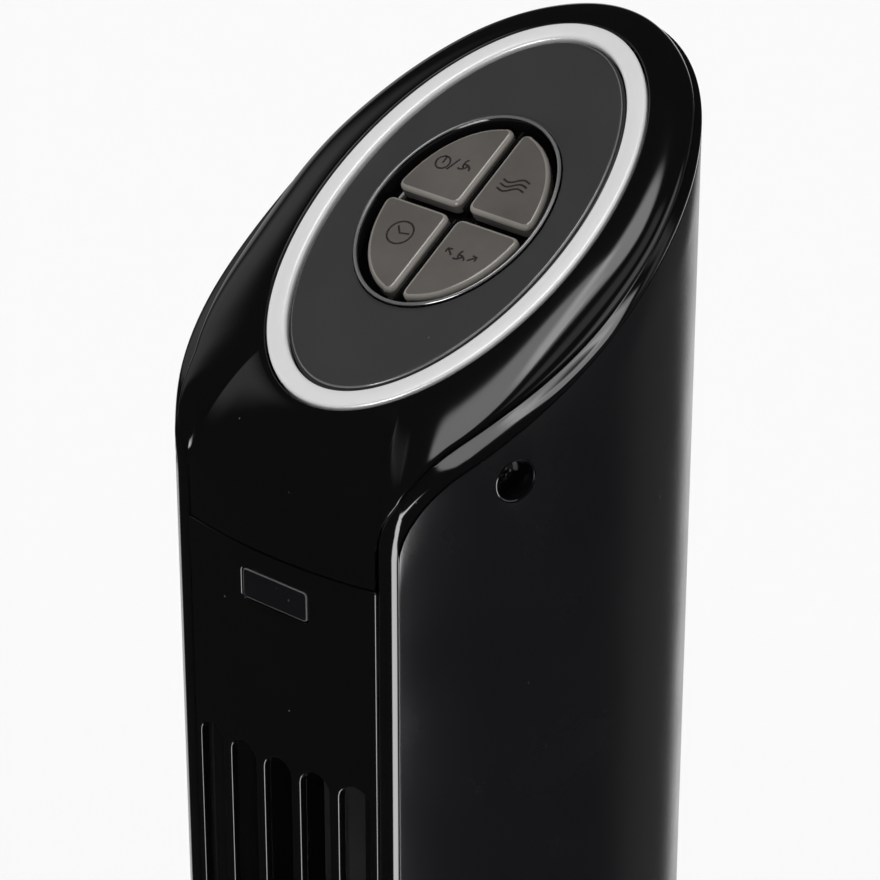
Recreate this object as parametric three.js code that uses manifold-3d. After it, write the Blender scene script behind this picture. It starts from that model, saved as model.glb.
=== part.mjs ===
// Tower fan: an oscillating column with a slanted oval control top, on a round base.
// Millimetres, +Z up, the front faces -Y. The origin is the centre of the base, on the floor.
import * as THREE from 'three';
import Module from 'manifold-3d';
import { mergeVertices } from 'three/addons/utils/BufferGeometryUtils.js';
import { LoftGeometry } from 'three/addons/geometries/LoftGeometry.js';

// ---- driving dimensions ------------------------------------------------------------

// Column outline: an ellipse with its front cut to a shallow arc and its corners eased.
const HALF_WIDTH = 55.9;
const HALF_DEPTH = 78.6;
const FRONT_Y = -64.5;
const FRONT_RADIUS = 157;
const FACE_HALF = 31.2;
const STRIP = 5.4;
const WALL = 2.2;
const GAP = 0.3;
const CORNER_GAP = 0.7;

// Slanted top: the silver ring's upper face lies in the ring plane.
const SLANT = THREE.MathUtils.degToRad(28.7);
const RING_CENTRE = new THREE.Vector3(0, 6.8, 745);
const RING_HALF_WIDTH = 39.7;
const RING_HALF_LENGTH = 65.1;
const RING_BAND = 5.2;
const RING_DEPTH = 3.3;
const RING_GROOVE = 0.6;
const RING_PROUD = 0.5;
const PAD_HALF_WIDTH = 24.7;
const PAD_HALF_LENGTH = 31.8;
const BUTTON_HALF_WIDTH = 21.4;
const BUTTON_HALF_LENGTH = 28.4;
const BUTTON_GAP = 2.6;
const BUTTON_TRAVEL = 0.8;

// Cap shoulder, and the two seams that follow the rim. A seam lies a front drop below the
// ring plane behind its front corner and a back drop further round; the corner falls by height.
const SEAM = { start: FACE_HALF, front: 3.1, back: 7.2, corner: 20.5, height: 18 };
const EDGE = { start: FACE_HALF + STRIP, front: 9, back: 10.5, corner: 16, height: 14.5 };
const SEAM_SETTLES = [52, 105];
const SEAM_INSET = 2;
const CORNER_LEAN = { inset: 1.5, sag: 1.3, grows: [36, 52], fades: [80, 125] };
const BACK_LEAN = { inset: 0.9, grows: [160, 195] };
const RIM_LIP = 1.2;
const SHOULDER_FRONT_DROP = 17.9;
const SHOULDER_POWER = 1.74;
const CAP_FRONT_Z = 676;
const CAP_SKIN = 1.5;

// Front grille.
const SLOT_COUNT = 5;
const SLOT_PITCH = 12;
const SLOT_WIDTH = 8.8;
const SLOT_TOP_Z = 617.6;
const SLOT_BOTTOM_Z = 150;
const WINDOW_WIDTH = 21.8;
const WINDOW_HEIGHT = 9;
const WINDOW_Z = 665.2;

// Column levels.
const FOOT_Z = 43;
const BODY_Z = 76;
const DUCT_BOTTOM_Z = 130;
const DUCT_TOP_Z = 632;
const PLATE = 3;

// Air path.
const IMPELLER_Y = 8;
const IMPELLER_RADIUS = 38;
const IMPELLER_BLADES = 14;
const SHAFT_RADIUS = 3;

// Upright intake slots round the back of the shell.
const INTAKE_SLOTS = 11;
const INTAKE_PITCH = 8.6;
const INTAKE_WIDTH = 3.4;
const INTAKE_LENGTH = 136;
const INTAKE_ROWS = [230, 380, 530];

// Recessed shell screws near the top of each side.
const RECESS_RADIUS = 5.3;
const RECESS_DEPTH = 9;
const RECESS_ALONG = 67.8;
const RECESS_Z = 701.6;

// Base.
const BASE_RADIUS = 135;
const SPIGOT_RADIUS = 35.4;
const CRANK_DISTANCE = 45;
const CRANK_THROW = 25.8;
const ROLLER_RADIUS = 3.2;
const SLOT_CLEARANCE = 2.4;
const FEET = 4;

// ---- finishes ----------------------------------------------------------------------

const finish = (color, roughness, metalness = 0) =>
  new THREE.MeshStandardMaterial({ color, roughness, metalness });
const glossBlack = finish(0x0c0c0d, 0.12);
const satinBlack = finish(0x17171a, 0.38);
const darkGrey = finish(0x2f2f30, 0.5);
const silver = finish(0xd2d2d2, 0.3, 0.7);
const smoke = finish(0x5f5a55, 0.15);
const rubber = finish(0x1a1a1a, 0.85);
const steel = finish(0x9a9c9e, 0.35, 0.9);
const copper = finish(0xa5602f, 0.4, 0.8);
const acetal = finish(0xe6e4dc, 0.45);
const boardGreen = finish(0x1f5a34, 0.5);

// ---- solids ------------------------------------------------------------------------

const wasm = await Module();
wasm.setup();

// A closed three.js geometry as a manifold-3d solid.
function solid(geometry) {
  const bare = geometry.index ? geometry.toNonIndexed() : geometry.clone();
  bare.deleteAttribute('normal');
  bare.deleteAttribute('uv');
  const merged = mergeVertices(bare, 1e-4);
  return new wasm.Manifold(new wasm.Mesh({
    numProp: 3,
    vertProperties: merged.attributes.position.array,
    triVerts: new Uint32Array(merged.index.array),
  }));
}

// A manifold-3d solid back as a three.js geometry.
function geometryOf(manifold) {
  const mesh = manifold.getMesh();
  const geometry = new THREE.BufferGeometry();
  geometry.setAttribute('position', new THREE.BufferAttribute(mesh.vertProperties, 3));
  geometry.setIndex(new THREE.BufferAttribute(mesh.triVerts, 1));
  geometry.computeVertexNormals();
  return geometry;
}

const join = (first, ...others) => others.reduce((sum, next) => sum.add(next), first);
const cut = (first, ...others) => others.reduce((rest, next) => rest.subtract(next), first);

// Upright extrusion of a plan shape between two heights.
function prism(shape, low, high, curveSegments = 24) {
  const geometry = new THREE.ExtrudeGeometry(shape, {
    depth: high - low, bevelEnabled: false, curveSegments,
  });
  return solid(geometry.translate(0, 0, low));
}

function polygon(points) {
  return new THREE.Shape(points.map(([x, y]) => new THREE.Vector2(x, y)));
}

// Upright solid of revolution from a closed [radius, z] profile, moved to (x, y).
function turned(profile, segments = 40, x = 0, y = 0) {
  const points = [...profile, profile[0]].map(([radius, z]) => new THREE.Vector2(radius, z));
  return solid(new THREE.LatheGeometry(points, segments).rotateX(Math.PI / 2).translate(x, y, 0));
}

// Upright cylinder, or a tube when inner is given.
function disc(radius, low, high, { inner = 0, segments = 32, x = 0, y = 0 } = {}) {
  return turned([[inner, low], [radius, low], [radius, high], [inner, high]], segments, x, y);
}

function block(width, depth, height, x, y, z) {
  return solid(new THREE.BoxGeometry(width, depth, height).translate(x, y, z));
}

// The normal of a closed section by Newell's method, and its middle.
function sectionFrame(section) {
  const normal = new THREE.Vector3();
  const middle = new THREE.Vector3();
  section.forEach((p, i) => {
    const q = section[(i + 1) % section.length];
    normal.x += (p.y - q.y) * (p.z + q.z);
    normal.y += (p.z - q.z) * (p.x + q.x);
    normal.z += (p.x - q.x) * (p.y + q.y);
    middle.addScaledVector(p, 1 / section.length);
  });
  return { normal, middle };
}

// A loft through closed sections, capped at both ends or running back into its start.
function loft(sections, loops) {
  const first = sectionFrame(sections[0]);
  const ahead = sectionFrame(sections[1]).middle.sub(first.middle);
  const turned = first.normal.dot(ahead) < 0 ? sections.map((row) => [...row].reverse()) : sections;
  const rows = loops ? [...turned, turned[0]] : turned;
  return solid(new LoftGeometry(rows, { capStart: !loops, capEnd: !loops }));
}

const linspace = (from, to, count) =>
  Array.from({ length: count }, (_, i) => from + ((to - from) * i) / (count - 1));

// ---- column outline ----------------------------------------------------------------

// Right half of the outline, from the middle of the front round to the middle of the back.
const faceAngle = Math.asin(FACE_HALF / FRONT_RADIUS);
const stripX = FACE_HALF + STRIP;
const ellipseAngle = Math.acos(stripX / HALF_WIDTH);
const stripY = -HALF_DEPTH * Math.sin(ellipseAngle);
const faceEndY = FRONT_Y + FRONT_RADIUS * (1 - Math.cos(faceAngle));
const outline = new THREE.Path();
outline.absarc(0, FRONT_Y + FRONT_RADIUS, FRONT_RADIUS, -Math.PI / 2, -Math.PI / 2 + faceAngle);
outline.quadraticCurveTo(stripX - 1.1, faceEndY + 0.9, stripX, stripY);
outline.absellipse(0, 0, HALF_WIDTH, HALF_DEPTH, -ellipseAngle, Math.PI / 2);
const HALF_GIRTH = outline.getLength();

// A plan point at a signed distance along the outline, moved inwards by inset.
function wallPoint(along, inset = 0) {
  const t = Math.min(Math.abs(along) / HALF_GIRTH, 1);
  const point = outline.getPoint(t);
  const tangent = t < 1 ? outline.getTangent(t) : new THREE.Vector2(-1, 0);
  const side = along < 0 ? -1 : 1;
  return new THREE.Vector2(
    side * (t < 1 ? point.x - tangent.y * inset : 0),
    point.y + tangent.x * inset,
  );
}

const ringPlaneZ = (y) => RING_CENTRE.z + (y - RING_CENTRE.y) * Math.tan(SLANT);

// Share of the extra lean that the rim has at the two front corners.
function cornerLean(along) {
  const place = Math.abs(along);
  const grown = THREE.MathUtils.smoothstep(place, ...CORNER_LEAN.grows);
  return grown * (1 - THREE.MathUtils.smoothstep(place, ...CORNER_LEAN.fades));
}

// How far the cap's rim lies inside the outline where it has turned to the side.
function rimInset(along) {
  const back = THREE.MathUtils.smoothstep(Math.abs(along), ...BACK_LEAN.grows);
  return SEAM_INSET + CORNER_LEAN.inset * cornerLean(along) + BACK_LEAN.inset * back;
}

// How far a seam lies below the ring plane at a distance along the outline.
function seamDrop(seam, along) {
  const place = Math.abs(along);
  const settled = THREE.MathUtils.smoothstep(place, ...SEAM_SETTLES);
  const level = THREE.MathUtils.lerp(seam.front, seam.back, settled);
  const rise = THREE.MathUtils.clamp((place - seam.start) / seam.corner, 0, 1);
  const sag = seam === SEAM ? CORNER_LEAN.sag * cornerLean(along) : 0;
  return level + sag + seam.height * (1 - Math.sqrt(1 - (1 - rise) ** 2));
}

// How far the rim has turned from the front face (0) to the side (1).
function turnToSide(along) {
  return THREE.MathUtils.smoothstep(Math.abs(along), FACE_HALF - 8, EDGE.start + EDGE.corner);
}

// Signed distances along the outline at which the lofts take their sections.
function cornerSteps(seam, count) {
  return linspace(0, Math.PI / 2, count).map((angle) =>
    seam.start + seam.corner * (1 - Math.cos(angle)));
}

function backSteps(seam, count) {
  return linspace(seam.start + seam.corner, HALF_GIRTH, count).slice(1);
}

const mirrored = (steps) => [...steps, ...steps.slice(0, -1).reverse().map((s) => -s)];

// A full plan shape of the outline, moved inwards by inset.
function outlineShape(inset, count = 56) {
  const steps = linspace(-HALF_GIRTH, HALF_GIRTH, count + 1).slice(0, -1);
  return new THREE.Shape(steps.map((along) => wallPoint(along, inset)));
}

// ---- slanted top helpers -----------------------------------------------------------

// Turns a solid built upright round the origin so that its z = 0 lies in the ring plane.
function onSlant(manifold) {
  const matrix = new THREE.Matrix4()
    .makeRotationX(SLANT)
    .setPosition(RING_CENTRE.x, RING_CENTRE.y, RING_CENTRE.z);
  return manifold.transform(matrix.elements);
}

function oval(halfWidth, halfLength) {
  return new THREE.Shape().absellipse(0, 0, halfWidth, halfLength, 0, Math.PI * 2);
}

function ovalRing(outer, inner, low, high, segments = 26) {
  const shape = oval(...outer);
  shape.holes.push(new THREE.Path().absellipse(0, 0, ...inner, 0, Math.PI * 2, true));
  return prism(shape, low, high, segments);
}

// ---- sub-parts: the slanted top ----------------------------------------------------

// The cap's skin at one place along the outline, from the ring's groove out to the rim.
// depth is how far the skin lies under the ring plane at the groove.
function shoulder(along, depth, thickness, low) {
  const side = turnToSide(along);
  const rim = wallPoint(along, rimInset(along) * side + thickness);
  const plan = (RING_HALF_LENGTH + RING_GROOVE) * Math.cos(SLANT);
  const angle = Math.atan2((rim.y - RING_CENTRE.y) / plan, rim.x / RING_HALF_WIDTH);
  const holeX = (RING_HALF_WIDTH + RING_GROOVE) * Math.cos(angle);
  const holeY = RING_CENTRE.y + plan * Math.sin(angle) + depth * Math.sin(SLANT);
  const start = depth / Math.cos(SLANT);
  const drop = Math.min(
    THREE.MathUtils.lerp(SHOULDER_FRONT_DROP, 0, side) + seamDrop(SEAM, along) * side,
    seamDrop(SEAM, along) - RIM_LIP,
  );
  return linspace(0, Math.PI / 2, 5).map((turn) => {
    const out = Math.sin(turn) ** (2 / SHOULDER_POWER);
    const fall = 1 - Math.cos(turn) ** (2 / SHOULDER_POWER);
    const y = holeY + (rim.y - holeY) * out;
    const z = ringPlaneZ(y) - start - Math.max(drop - start, 0) * fall;
    return new THREE.Vector3(holeX + (rim.x - holeX) * out, y, Math.max(z, low));
  });
}

function capRimZ(along, y) {
  if (Math.abs(along) < SEAM.start - CORNER_GAP) return CAP_FRONT_Z;
  return ringPlaneZ(y) - seamDrop(SEAM, Math.abs(along) + CORNER_GAP) + GAP;
}

function topCap() {
  const face = linspace(0, SEAM.start - CORNER_GAP - 0.05, 5);
  const half = [...face, ...cornerSteps(SEAM, 8).map((s) => s - CORNER_GAP), ...backSteps(SEAM, 15)];
  const sections = mirrored(half).slice(0, -1).map((along) => {
    const outer = shoulder(along, RING_PROUD, 0, 0);
    const rim = outer.at(-1);
    const low = capRimZ(along, rim.y);
    const inner = shoulder(along, RING_PROUD + CAP_SKIN, WALL, low + GAP).reverse();
    const lip = inner[0];
    return [...outer, new THREE.Vector3(rim.x, rim.y, low), new THREE.Vector3(lip.x, lip.y, low),
      ...inner];
  });
  return loft(sections, true);
}

function trimRing() {
  return onSlant(ovalRing(
    [RING_HALF_WIDTH, RING_HALF_LENGTH],
    [RING_HALF_WIDTH - RING_BAND, RING_HALF_LENGTH - RING_BAND],
    -RING_DEPTH, 0,
  ));
}

function fasciaPanel() {
  const edge = RING_BAND + GAP;
  return onSlant(ovalRing(
    [RING_HALF_WIDTH - edge, RING_HALF_LENGTH - edge],
    [PAD_HALF_WIDTH + GAP, PAD_HALF_LENGTH + GAP],
    -RING_DEPTH, -0.5,
  ));
}

const DECK_TOP = -RING_DEPTH - GAP;
const BOARD_TOP = -13;
const BEZEL_FLOOR = -7;
const PEGS = [[13.5, 22], [-13.5, 22], [13.5, -22], [-13.5, -22]];

function controlDeck() {
  const plate = ovalRing([41.5, 66.5], [PAD_HALF_WIDTH + GAP, PAD_HALF_LENGTH + GAP], DECK_TOP - 2.2, DECK_TOP);
  const legs = [[26, 26], [-26, 26], [26, -26], [-26, -26]].map(([x, y]) =>
    disc(2.2, BOARD_TOP + GAP, DECK_TOP - 1, { x, y, segments: 8 }));
  return onSlant(join(plate, ...legs));
}

function buttonBezel() {
  const rim = ovalRing([PAD_HALF_WIDTH, PAD_HALF_LENGTH], [PAD_HALF_WIDTH - 1.2, PAD_HALF_LENGTH - 1.2],
    BEZEL_FLOOR, 0.3);
  const floor = prism(oval(PAD_HALF_WIDTH - 0.6, PAD_HALF_LENGTH - 0.6), BEZEL_FLOOR, BEZEL_FLOOR + 1);
  const rib = block(0.7, (PAD_HALF_LENGTH - 1) * 2, 4.4, 0, 0, BEZEL_FLOOR + 2.9);
  const holes = PEGS.map(([x, y]) => disc(2.8, BEZEL_FLOOR - 1, BEZEL_FLOOR + 2, { x: x * 0.75, y: y * 0.6, segments: 10 }));
  return onSlant(cut(join(rim, floor, rib), ...holes));
}

const BUTTONS = [
  { name: 'button_power', x: -1, y: 1 },
  { name: 'button_speed', x: 1, y: 1 },
  { name: 'button_timer', x: -1, y: -1 },
  { name: 'button_swing', x: 1, y: -1 },
];
const SWITCH_TOP = -9.5;
const BUTTON_STEM_END = SWITCH_TOP + BUTTON_TRAVEL + GAP;

// One quarter of the oval pad, with a stem down to its switch.
function button({ x, y }) {
  const gap = BUTTON_GAP / 2;
  const pad = prism(oval(BUTTON_HALF_WIDTH, BUTTON_HALF_LENGTH), -4.8, -0.9);
  const quarter = block(60, 80, 20, x * (30 + gap), y * (40 + gap + 0.2), -3);
  const stem = disc(2, BUTTON_STEM_END, -4, { x: x * 10.1, y: y * 13.2, segments: 8 });
  return onSlant(join(pad.intersect(quarter), stem));
}

function tactSwitch({ x, y }) {
  const body = block(6, 6, 2.6, x * 10.1, y * 13.2, BOARD_TOP + GAP + 1.3);
  const plunger = disc(1.7, BOARD_TOP + 2, SWITCH_TOP, { x: x * 10.1, y: y * 13.2, segments: 8 });
  return onSlant(join(body, plunger));
}

function controlBoard() {
  return onSlant(block(58, 60, 1.6, 0, 0, BOARD_TOP - 0.8));
}

// ---- sub-parts: the column's shells ------------------------------------------------

// The glossy frame: a strip down each side of the front that runs round under the cap.
function frontFrame() {
  const leg = { seam: SEAM.start + GAP / 2, edge: EDGE.start };
  const corner = linspace(0, Math.PI / 2, 8);
  const rows = [{ seam: [leg.seam, BODY_Z], edge: [leg.edge, BODY_Z] }];
  corner.forEach((angle) => {
    const along = (seam) => seam.start + seam.corner * (1 - Math.cos(angle));
    const z = (seam, s, inset) => ringPlaneZ(wallPoint(s, inset).y) - seamDrop(seam, s);
    rows.push({
      seam: [along(SEAM) + GAP / 2, z(SEAM, along(SEAM), rimInset(along(SEAM)))],
      edge: [along(EDGE), z(EDGE, along(EDGE), 0)],
    });
  });
  const seamBack = backSteps(SEAM, 14);
  const edgeBack = backSteps(EDGE, 14);
  seamBack.forEach((s, i) => rows.push({
    seam: [s, ringPlaneZ(wallPoint(s, rimInset(s)).y) - seamDrop(SEAM, s)],
    edge: [edgeBack[i], ringPlaneZ(wallPoint(edgeBack[i], 0).y) - seamDrop(EDGE, edgeBack[i])],
  }));
  const left = rows.slice(0, -1).reverse().map(({ seam, edge }) => ({
    seam: [-seam[0], seam[1]], edge: [-edge[0], edge[1]],
  }));
  const sections = [...rows, ...left].map(({ seam, edge }) => {
    const inset = rimInset(seam[0]) * turnToSide(seam[0]);
    const under = [edge[0] - Math.sign(edge[0]) * CORNER_GAP / 2, edge[1]];
    const corners = [[seam, inset], [edge, 0], [under, WALL], [seam, inset + WALL]];
    return corners.map(([[along, z], depth]) => {
      const plan = wallPoint(along, depth);
      return new THREE.Vector3(plan.x, plan.y, z);
    });
  });
  return loft(sections, false);
}

// Rear shell: a wall from one strip round the back to the other, with the intake slots cut in.
function rearShell() {
  const half = [...cornerSteps(EDGE, 8).map((s) => s + CORNER_GAP), ...backSteps(EDGE, 16)];
  const sections = mirrored(half).map((along) => {
    const outer = wallPoint(along);
    const inner = wallPoint(along, WALL);
    const top = ringPlaneZ(outer.y) - seamDrop(EDGE, Math.abs(along) - CORNER_GAP) - GAP;
    return [
      new THREE.Vector3(outer.x, outer.y, BODY_Z),
      new THREE.Vector3(outer.x, outer.y, top),
      new THREE.Vector3(inner.x, inner.y, top),
      new THREE.Vector3(inner.x, inner.y, BODY_Z),
    ];
  });
  let shell = loft(sections, false);
  for (const side of [1, -1]) {
    shell = join(shell, alongNormal(side, disc(RECESS_RADIUS + 1.6, -RECESS_DEPTH, -WALL / 2, { segments: 16 })));
    shell = cut(shell,
      alongNormal(side, disc(RECESS_RADIUS, -RECESS_DEPTH + 1.4, 6, { segments: 16 })),
      alongNormal(side, disc(2, -RECESS_DEPTH - 2, 0, { segments: 8 })));
  }
  return cut(shell, ...INTAKE_ROWS.flatMap((z) => intakePlaces().map((along) => intakeSlot(along, z))));
}

// Distances along the outline of the intake slots, from one side of the back to the other.
function intakePlaces() {
  const half = (INTAKE_SLOTS - 1) / 2;
  return linspace(-half, half, INTAKE_SLOTS).map((place) =>
    (place < 0 ? -1 : 1) * (HALF_GIRTH - Math.abs(place) * INTAKE_PITCH));
}

// A cutter for one upright intake slot, square to the wall at that place.
function intakeSlot(along, z) {
  const at = wallPoint(along);
  const inside = wallPoint(along, 1);
  const turn = THREE.MathUtils.radToDeg(Math.atan2(inside.x - at.x, at.y - inside.y));
  return block(INTAKE_WIDTH, 12, INTAKE_LENGTH, 0, 0, 0)
    .rotate([0, 0, turn]).translate([at.x, at.y, z]);
}

// Moves an upright solid so that its +z points out through the wall at the screw recess.
function alongNormal(side, manifold) {
  const at = wallPoint(side * RECESS_ALONG);
  const inside = wallPoint(side * RECESS_ALONG, 1);
  const normal = new THREE.Vector3(at.x - inside.x, at.y - inside.y, 0).normalize();
  const turn = new THREE.Quaternion().setFromUnitVectors(new THREE.Vector3(0, 0, 1), normal);
  const matrix = new THREE.Matrix4().compose(
    new THREE.Vector3(at.x, at.y, RECESS_Z), turn, new THREE.Vector3(1, 1, 1));
  return manifold.transform(matrix.elements);
}

function shellScrew(side) {
  const head = disc(3.2, -RECESS_DEPTH + 1.7, -RECESS_DEPTH + 3.6, { segments: 12 });
  const shank = disc(1.5, -RECESS_DEPTH - 8, -RECESS_DEPTH + 2, { segments: 8 });
  return alongNormal(side, join(head, shank));
}

// The grille panel: the outline's front arc as a thick strip, with its slots and window.
function frontGrille() {
  const half = FACE_HALF - GAP;
  const outer = linspace(-half, half, 11).map((s) => wallPoint(s, 0));
  const inner = linspace(half, -half, 11).map((s) => wallPoint(s, 2.6));
  const panel = prism(new THREE.Shape([...outer, ...inner]), BODY_Z, CAP_FRONT_Z - GAP);
  const radius = SLOT_WIDTH / 2;
  const slots = linspace(-2, 2, SLOT_COUNT).map((place) => {
    const x = place * SLOT_PITCH;
    const shape = new THREE.Shape()
      .absarc(x, SLOT_TOP_Z - radius, radius, 0, Math.PI)
      .absarc(x, SLOT_BOTTOM_Z + radius, radius, Math.PI, Math.PI * 2);
    return frontCutter(shape, 5);
  });
  return cut(panel, ...slots, frontCutter(windowShape(0), 3));
}

// A shape drawn on the front's x-z plane, as a cutter through the front wall.
function frontCutter(shape, curveSegments) {
  const geometry = new THREE.ExtrudeGeometry(shape, { depth: 30, bevelEnabled: false, curveSegments });
  return solid(geometry.rotateX(Math.PI / 2).translate(0, FRONT_Y + 20, 0));
}

function windowShape(shrink) {
  const w = WINDOW_WIDTH / 2 - shrink;
  const h = WINDOW_HEIGHT / 2 - shrink;
  const r = 1.4;
  return new THREE.Shape()
    .absarc(w - r, WINDOW_Z + h - r, r, 0, Math.PI / 2)
    .absarc(-w + r, WINDOW_Z + h - r, r, Math.PI / 2, Math.PI)
    .absarc(-w + r, WINDOW_Z - h + r, r, Math.PI, Math.PI * 1.5)
    .absarc(w - r, WINDOW_Z - h + r, r, Math.PI * 1.5, Math.PI * 2);
}

function irWindow() {
  const half = WINDOW_WIDTH / 2 + 2;
  const outer = linspace(-half, half, 7).map((s) => wallPoint(s, 0.4));
  const inner = linspace(half, -half, 7).map((s) => wallPoint(s, 2.4));
  const slab = prism(new THREE.Shape([...outer, ...inner]), WINDOW_Z - 10, WINDOW_Z + 10);
  return slab.intersect(frontCutter(windowShape(GAP), 3));
}

function irReceiver() {
  const body = block(9, 5, 7, 0, FRONT_Y + 8, WINDOW_Z);
  const legs = [-2.5, 0, 2.5].map((x) => block(0.8, 0.8, 12, x, FRONT_Y + 9, WINDOW_Z + 8));
  return join(body, ...legs);
}

// ---- sub-parts: the air path and drive ---------------------------------------------

// A thin upright sheet that follows a smooth curve through its plan points.
function sheet(points, thickness, low, high, steps) {
  const curve = new THREE.CatmullRomCurve3(points.map(([x, y]) => new THREE.Vector3(x, y, 0)));
  const side = (offset) => linspace(0, 1, steps).map((t) => {
    const p = curve.getPoint(t);
    const along = curve.getTangent(t);
    return new THREE.Vector2(p.x - along.y * offset, p.y + along.x * offset);
  });
  const ring = [...side(-thickness / 2), ...side(thickness / 2).reverse()];
  return prism(new THREE.Shape(ring), low, high);
}

const SCROLL = [[33, 40], [43, 22], [46.5, 4], [43, -18], [35, -36], [30, -48], [29.6, -57]];
const TONGUE = [[-29.8, -57], [-30.2, -48], [-31.5, -40], [-34.5, -33], [-39, -29.5]];

function scrollWall() {
  return sheet(SCROLL, 1.8, DUCT_BOTTOM_Z, DUCT_TOP_Z, 18);
}

function vortexTongue() {
  return sheet(TONGUE, 1.8, DUCT_BOTTOM_Z, DUCT_TOP_Z, 10);
}

function endPlate(low, bore) {
  const plate = prism(outlineShape(WALL + 1.2, 40), low, low + PLATE);
  return cut(plate, disc(bore, low - 1, low + PLATE + 1, { y: IMPELLER_Y, segments: 20 }));
}

const upperPlateZ = DUCT_TOP_Z + GAP;
const lowerPlateZ = DUCT_BOTTOM_Z - GAP - PLATE;

function bearingBush(low, high) {
  return turned([[SHAFT_RADIUS + GAP, low], [7.7, low], [7.7, high], [SHAFT_RADIUS + GAP, high]],
    16, 0, IMPELLER_Y);
}

// Cross-flow impeller: curved blades let into two end discs and a middle one.
function impeller() {
  const low = DUCT_BOTTOM_Z + 4;
  const high = DUCT_TOP_Z - 4;
  const bore = SHAFT_RADIUS + GAP;
  const end = (z) => disc(IMPELLER_RADIUS, z, z + 2.4, { inner: bore, segments: 24 });
  const middle = disc(IMPELLER_RADIUS, -0.8, 0.8, { inner: 27, segments: 24 });
  const discs = [end(low), end(high - 2.4), middle.translate([0, 0, (low + high) / 2])];
  const blade = polygon([[36.8, 0], [33, 2.3], [28.2, 2.2], [28.3, 0.9], [32.6, 1], [36, -0.8]]);
  const blades = Array.from({ length: IMPELLER_BLADES }, (_, i) =>
    prism(blade, low + 0.8, high - 0.8).rotate([0, 0, (i * 360) / IMPELLER_BLADES]));
  return join(...discs, ...blades).translate([0, IMPELLER_Y, 0]);
}

const MOTOR_LOW_Z = 82;
const MOTOR_RADIUS = 37;
const SHAFT_LOW_Z = 79;

function impellerShaft() {
  return disc(SHAFT_RADIUS, SHAFT_LOW_Z, DUCT_TOP_Z + 8, { y: IMPELLER_Y, segments: 20 });
}

function motorCan() {
  const top = lowerPlateZ - GAP;
  const inside = MOTOR_RADIUS - 1.6;
  return turned([[8, MOTOR_LOW_Z], [MOTOR_RADIUS, MOTOR_LOW_Z], [MOTOR_RADIUS, top], [inside, top],
    [inside, MOTOR_LOW_Z + 1.6], [8, MOTOR_LOW_Z + 1.6]], 28, 0, IMPELLER_Y);
}

function statorCore() {
  return disc(MOTOR_RADIUS - 2, 94, 114, { inner: 22, y: IMPELLER_Y, segments: 24 });
}

function statorWinding(low, high) {
  return disc(MOTOR_RADIUS - 4, low, high, { inner: 24, y: IMPELLER_Y, segments: 24 });
}

function motorRotor() {
  return disc(21.2, 92, 116, { inner: SHAFT_RADIUS + GAP, y: IMPELLER_Y, segments: 24 });
}

function capacitor() {
  const can = block(36, 16, 24, 0, -46, 92);
  const tabs = [-8, 8].map((x) => block(5, 0.8, 8, x, -46, 107));
  return join(can, ...tabs);
}

function powerBoard() {
  const board = block(46, 1.6, 34, 0, 54, 100);
  const parts = [[-12, 14], [4, 10], [16, 12]].map(([x, height]) => block(10, 7, height, x, 50, 96));
  return join(board, ...parts);
}

// Bottom of the column: a skirt with a floor and the spigot that turns in the base.
function towerFoot() {
  const skirt = cut(prism(outlineShape(0), FOOT_Z + GAP, BODY_Z - GAP), prism(outlineShape(WALL), FOOT_Z + 3, BODY_Z + 1));
  const spigot = disc(SPIGOT_RADIUS, 36.9, FOOT_Z + 2, { segments: 32 });
  return cut(join(skirt, spigot), disc(28, 30, BODY_Z, { segments: 28 }));
}

// ---- sub-parts: the base and its swing drive ---------------------------------------

const COVER_OUTER = [[BASE_RADIUS, 3.6], [BASE_RADIUS, 8], [131.5, 14.5], [122, 21.6], [98, 31.2],
  [74, 38], [60, 40.2], [SPIGOT_RADIUS + 0.8, 40.2]];
const COVER_INNER = [[SPIGOT_RADIUS + 0.8, 37.2], [60, 37.2], [73, 35], [97, 28.2], [120, 19],
  [129, 12], [132.4, 7], [132.4, 3.6]];
const GLAND_Z = 9.4;

function baseCover() {
  const shell = turned([...COVER_OUTER, ...COVER_INNER], 40);
  return cut(shell, alongY(5, 120, 140, GLAND_Z), alongY(9, 110, 131.6, GLAND_Z));
}

// A cylinder lying along Y between two depths, on the base's centre line.
function alongY(radius, from, to, z) {
  const geometry = new THREE.CylinderGeometry(radius, radius, to - from, 20);
  return solid(geometry.translate(0, (from + to) / 2, z));
}

function basePlate() {
  const plate = disc(BASE_RADIUS - 3, 3.3, 5.8, { segments: 40 });
  return cut(plate, alongY(7.7, 116, 140, GLAND_Z), ...baseScrewPlaces().map(([x, y]) => disc(2.2, 2, 8, { x, y, segments: 8 })));
}

function ballast() {
  const shape = new THREE.Shape().absarc(0, 0, 119, Math.PI * 0.85, Math.PI * 2.15);
  shape.absarc(0, 0, 88, Math.PI * 2.15, Math.PI * 0.85, true);
  return prism(shape, 6.1, 12, 16);
}

function bearingRing() {
  return disc(53, 40.5, FOOT_Z, { inner: 44, segments: 32 });
}

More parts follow.
